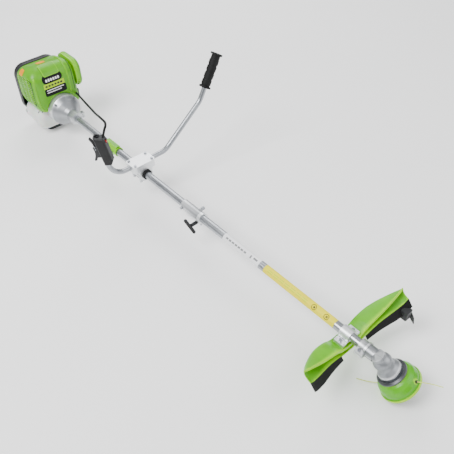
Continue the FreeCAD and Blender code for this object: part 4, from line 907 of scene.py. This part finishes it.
@dataclass
class WorkingEndTrim:
    """Painted highlights: a bright bead along the guard's front edge and a bright ring round the
    head's rim.
    """

    gear_x: float = 1461.0
    lip_x: float = 1385.0
    lean_deg: float = -33.0
    roll_deg: float = 22.0
    rim_radius: float = 56.9
    rim_drop: float = -90.0

    def in_head(self, x: float, y: float, z: float) -> Vector:
        """Point given in the head's own axes, with Z up its spindle.

        Args:
            x: Millimetres from the spindle.
            y: Millimetres across.
            z: Millimetres up the spindle from where it crosses the shaft's axis.

        Returns:
            The point in the machine's frame.
        """
        roll = Matrix.Rotation(math.radians(self.roll_deg), 3, "X")
        lean = Matrix.Rotation(math.radians(self.lean_deg), 3, "Y")
        return on_shaft(self.gear_x, 0, 0) + (roll @ lean) @ Vector((x, y, z)) * MM

    def lip(self, guard: bpy.types.Object) -> None:
        """Lay a rounded bright bead, a painted highlight, along the highest edge of the guard.

        Args:
            guard: The guard's object in the frame.
        """
        tree = BVHTree.FromObject(guard, bpy.context.evaluated_depsgraph_get())
        for name, side in (("guard_lip_highlight_right", -1), ("guard_lip_highlight_left", 1)):
            edge = []
            for step in range(38):
                y = side * (38 + step * 4.0) * MM
                for drop in range(80):
                    start = Vector((on_shaft(self.lip_x, 0, 0).x, y, on_shaft(0, 0, 60 - drop).z))
                    hit, _, _, _ = tree.ray_cast(start, Vector((-1, 0, 0)), 0.05)
                    if hit:
                        edge.append(hit + Vector((-0.0012, 0, -0.0010)))
                        break
            # The bright bead is a painted highlight on the guard's edge.
            lip = bead(edge, 1.5 * MM, 10)
            make_piece(name, lip, Stuff.LIME_PAINTED_HIGHLIGHT, "lower_unit", CRISP_EDGE_DEG)

    def rim(self) -> None:
        """Turn the bright ring of painted highlight on the head's lower rim."""
        rings = []
        for k in range(96):
            a = 2 * math.pi * k / 96
            ring = []
            for r, z in ((0.4, -2.4), (0.9, 0.0), (0.4, 2.4), (-0.6, 2.4), (-0.6, -2.4)):
                reach = self.rim_radius + r
                ring.append(self.in_head(reach * math.cos(a), reach * math.sin(a),
                                         self.rim_drop + z))
            rings.append(ring)
        # The bright ring is a painted highlight on the head's rim.
        ring = loft(rings + [rings[0]], cap_first=False, cap_last=False)
        make_piece("head_rim_highlight", ring, Stuff.LIME_PAINTED_HIGHLIGHT, "cutting_head", 60)

    def build(self, guard: bpy.types.Object) -> None:
        """Build both.

        Args:
            guard: The guard's object in the frame.
        """
        self.lip(guard)
        self.rim()


# ---------------------------------------------------------------- shaft markings

@dataclass
class ShaftLabels:
    """White and yellow wraps on the lower tube with generic marks."""

    tube_radius: float = 12.92
    film: float = 0.18
    ink: float = 0.4
    facing_deg: float = 124.0
    body: str = "lower_unit"

    def on_tube(self, x: float, angle: float, lift: float) -> Vector:
        """Place a point on or just above the tube.

        Args:
            x: Station in millimetres.
            angle: Angle about the shaft in radians, from +Y toward +Z.
            lift: Height above the tube in millimetres.

        Returns:
            The point in the machine's frame.
        """
        reach = self.tube_radius + lift
        return on_shaft(x, reach * math.cos(angle), reach * math.sin(angle))

    def wrap(self, x0: float, x1: float, from_deg: float, to_deg: float,
             lift: float) -> bmesh.types.BMesh:
        """Curved patch on the tube.

        Args:
            x0: First station.
            x1: Last station.
            from_deg: First angle about the shaft, from +Y toward +Z.
            to_deg: Last angle.
            lift: Height above the tube in millimetres.

        Returns:
            A closed thin mesh.
        """
        steps = max(2, int(abs(to_deg - from_deg) / 6))
        angles = [math.radians(from_deg + (to_deg - from_deg) * i / steps)
                  for i in range(steps + 1)]
        rings = []
        for x in (x0, x1):
            outer = [self.on_tube(x, a, lift) for a in angles]
            rings.append(outer + [self.on_tube(x, a, 0.0) for a in reversed(angles)])
        return loft(rings)

    def disc(self, x: float, radius: float, lift: float, hole: float = 0.0) -> bmesh.types.BMesh:
        """Round mark that follows the tube.

        Args:
            x: Station of its middle.
            radius: Outer radius in millimetres.
            lift: Height above the tube.
            hole: Radius of an open middle.

        Returns:
            A closed thin mesh.
        """
        mesh = bmesh.new()
        count = 28
        loops = []
        for r, height in ((radius, lift), (hole, lift), (hole, 0.02), (radius, 0.02)):
            loop = []
            for k in range(count):
                a = 2 * math.pi * k / count
                turn = math.radians(self.facing_deg) + r * math.sin(a) / self.tube_radius
                loop.append(mesh.verts.new(self.on_tube(x + r * math.cos(a), turn, height)))
            loops.append(loop)
        for first, second in zip(loops, loops[1:] + loops[:1]):
            for k in range(count):
                j = (k + 1) % count
                mesh.faces.new((first[k], first[j], second[j], second[k]))
        return mesh

    def build(self) -> None:
        """Lay both wraps and their marks."""
        mid = self.facing_deg
        white = self.wrap(868, 1023, mid - 120, mid + 120, self.film)
        make_piece("white_wrap", white, Stuff.WHITE_FILM, self.body)
        yellow = self.wrap(1044, 1309, mid - 125, mid + 125, self.film)
        make_piece("yellow_wrap", yellow, Stuff.YELLOW_FILM, self.body)
        ink = self.ink
        bars = [self.wrap(880 + i * 13, 889 + i * 13, mid - 10, mid + 14, ink) for i in range(7)]
        bars += [self.wrap(985, 990, mid - 22, mid + 22, ink),
                 self.wrap(998, 1014, mid - 20, mid + 4, ink)]
        make_piece("white_wrap_marks", join_meshes(bars), Stuff.GREY_INK, self.body)
        lines = [self.wrap(1060 + i * 22, 1078 + i * 22, mid + side, mid + side + 7, ink)
                 for i in range(7) for side in (-14, 10)]
        make_piece("yellow_wrap_lines", join_meshes(lines), Stuff.LIME_FILM, self.body)
        rounds = []
        for x in (1236, 1280):
            rounds += [self.disc(x, 8.0, 0.45, 6.4), self.disc(x + 1, 3.0, 0.45, 0.4)]
        make_piece("round_marks", join_meshes(rounds), Stuff.BLACK_FILM, self.body)


@dataclass
class ThrottleCable:
    """Sleeved cable from the engine cover to the top of the throttle handle."""

    diameter: float = 0.008
    length: float = 0.637
    route: tuple[tuple[float, float, float], ...] = (
        (-111, 69.5, 36.1), (-40, 49, 59), (30, 28, 80), (100, 7, 103), (170, -15, 128),
        (238, -37.5, 154), (299, -59, 184), (357.5, -81, 214), (421, -96, 232),
        (434.18, -116.69, 219.3), (426.5, -122.1, 186.6))

    def build(self) -> None:
        curve = bpy.data.curves.new("throttle_cable_sleeve", "CURVE")
        curve.dimensions = "3D"
        curve.bevel_depth = self.diameter / 2
        curve.bevel_resolution = 6
        curve.resolution_u = 16
        spline = curve.splines.new("NURBS")
        spline.points.add(len(self.route) - 1)
        for point, place in zip(spline.points, self.route):
            point.co = (*on_shaft(*place), 1.0)
        spline.order_u = 3
        spline.use_endpoint_u = True
        curve.materials.append(Stuff.RUBBER.value.build())
        cable = bpy.data.objects.new("throttle_cable_sleeve", curve)
        bpy.context.scene.collection.objects.link(cable)
        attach(cable, "engine_unit")
        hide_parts("throttle_cable")


@dataclass
class StarterRope:
    """Three-strand starter rope, from its housing to the pull handle."""

    strands: int = 3
    lay_mm: float = 11.0
    rings: int = 90
    sides: int = 24

    def build(self) -> None:
        """Lay the rope in the CAD rope's place, on no body."""
        low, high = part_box("starter_rope")
        middle = (low + high) / 2
        radius = (high.x - low.x) / 2
        rows = []
        for i in range(self.rings + 1):
            y = low.y + (high.y - low.y) * i / self.rings
            twist = 2 * math.pi * (y - low.y) / (self.lay_mm * MM)
            row = []
            for k in range(self.sides):
                angle = -2 * math.pi * k / self.sides
                lobe = radius * (0.9 + 0.1 * math.cos(self.strands * (angle - twist)))
                row.append(Vector((middle.x + lobe * math.cos(angle), y,
                                   middle.z + lobe * math.sin(angle))))
            rows.append(row)
        rope = make_piece("starter_rope_laid", loft(rows), Stuff.ROPE, None, 70)
        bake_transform(rope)
        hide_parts("starter_rope")


def dress_frame(nodes: dict[str, bpy.types.Object]) -> None:
    """Give every CAD node the finish of its real material.

    Args:
        nodes: CAD node names to their objects.
    """
    for stuff, names in DRESSING.items():
        for name in names:
            slots = nodes[name].data.materials
            slots.clear()
            slots.append(stuff.value.build())
            LOG.info("%s is %s", name, stuff.value.label)


def main() -> None:
    """Load the frame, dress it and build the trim."""
    logging.basicConfig(level=logging.INFO, format="%(name)s: %(message)s")
    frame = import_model()
    dress_frame(frame["nodes"])
    ThrottleCable().build()
    StarterRope().build()
    EngineCover().build()
    ShaftLabels().build()
    WorkingEndTrim().build(frame["nodes"]["guard"])
    Studio().build()


if __name__ == "__main__":
    main()
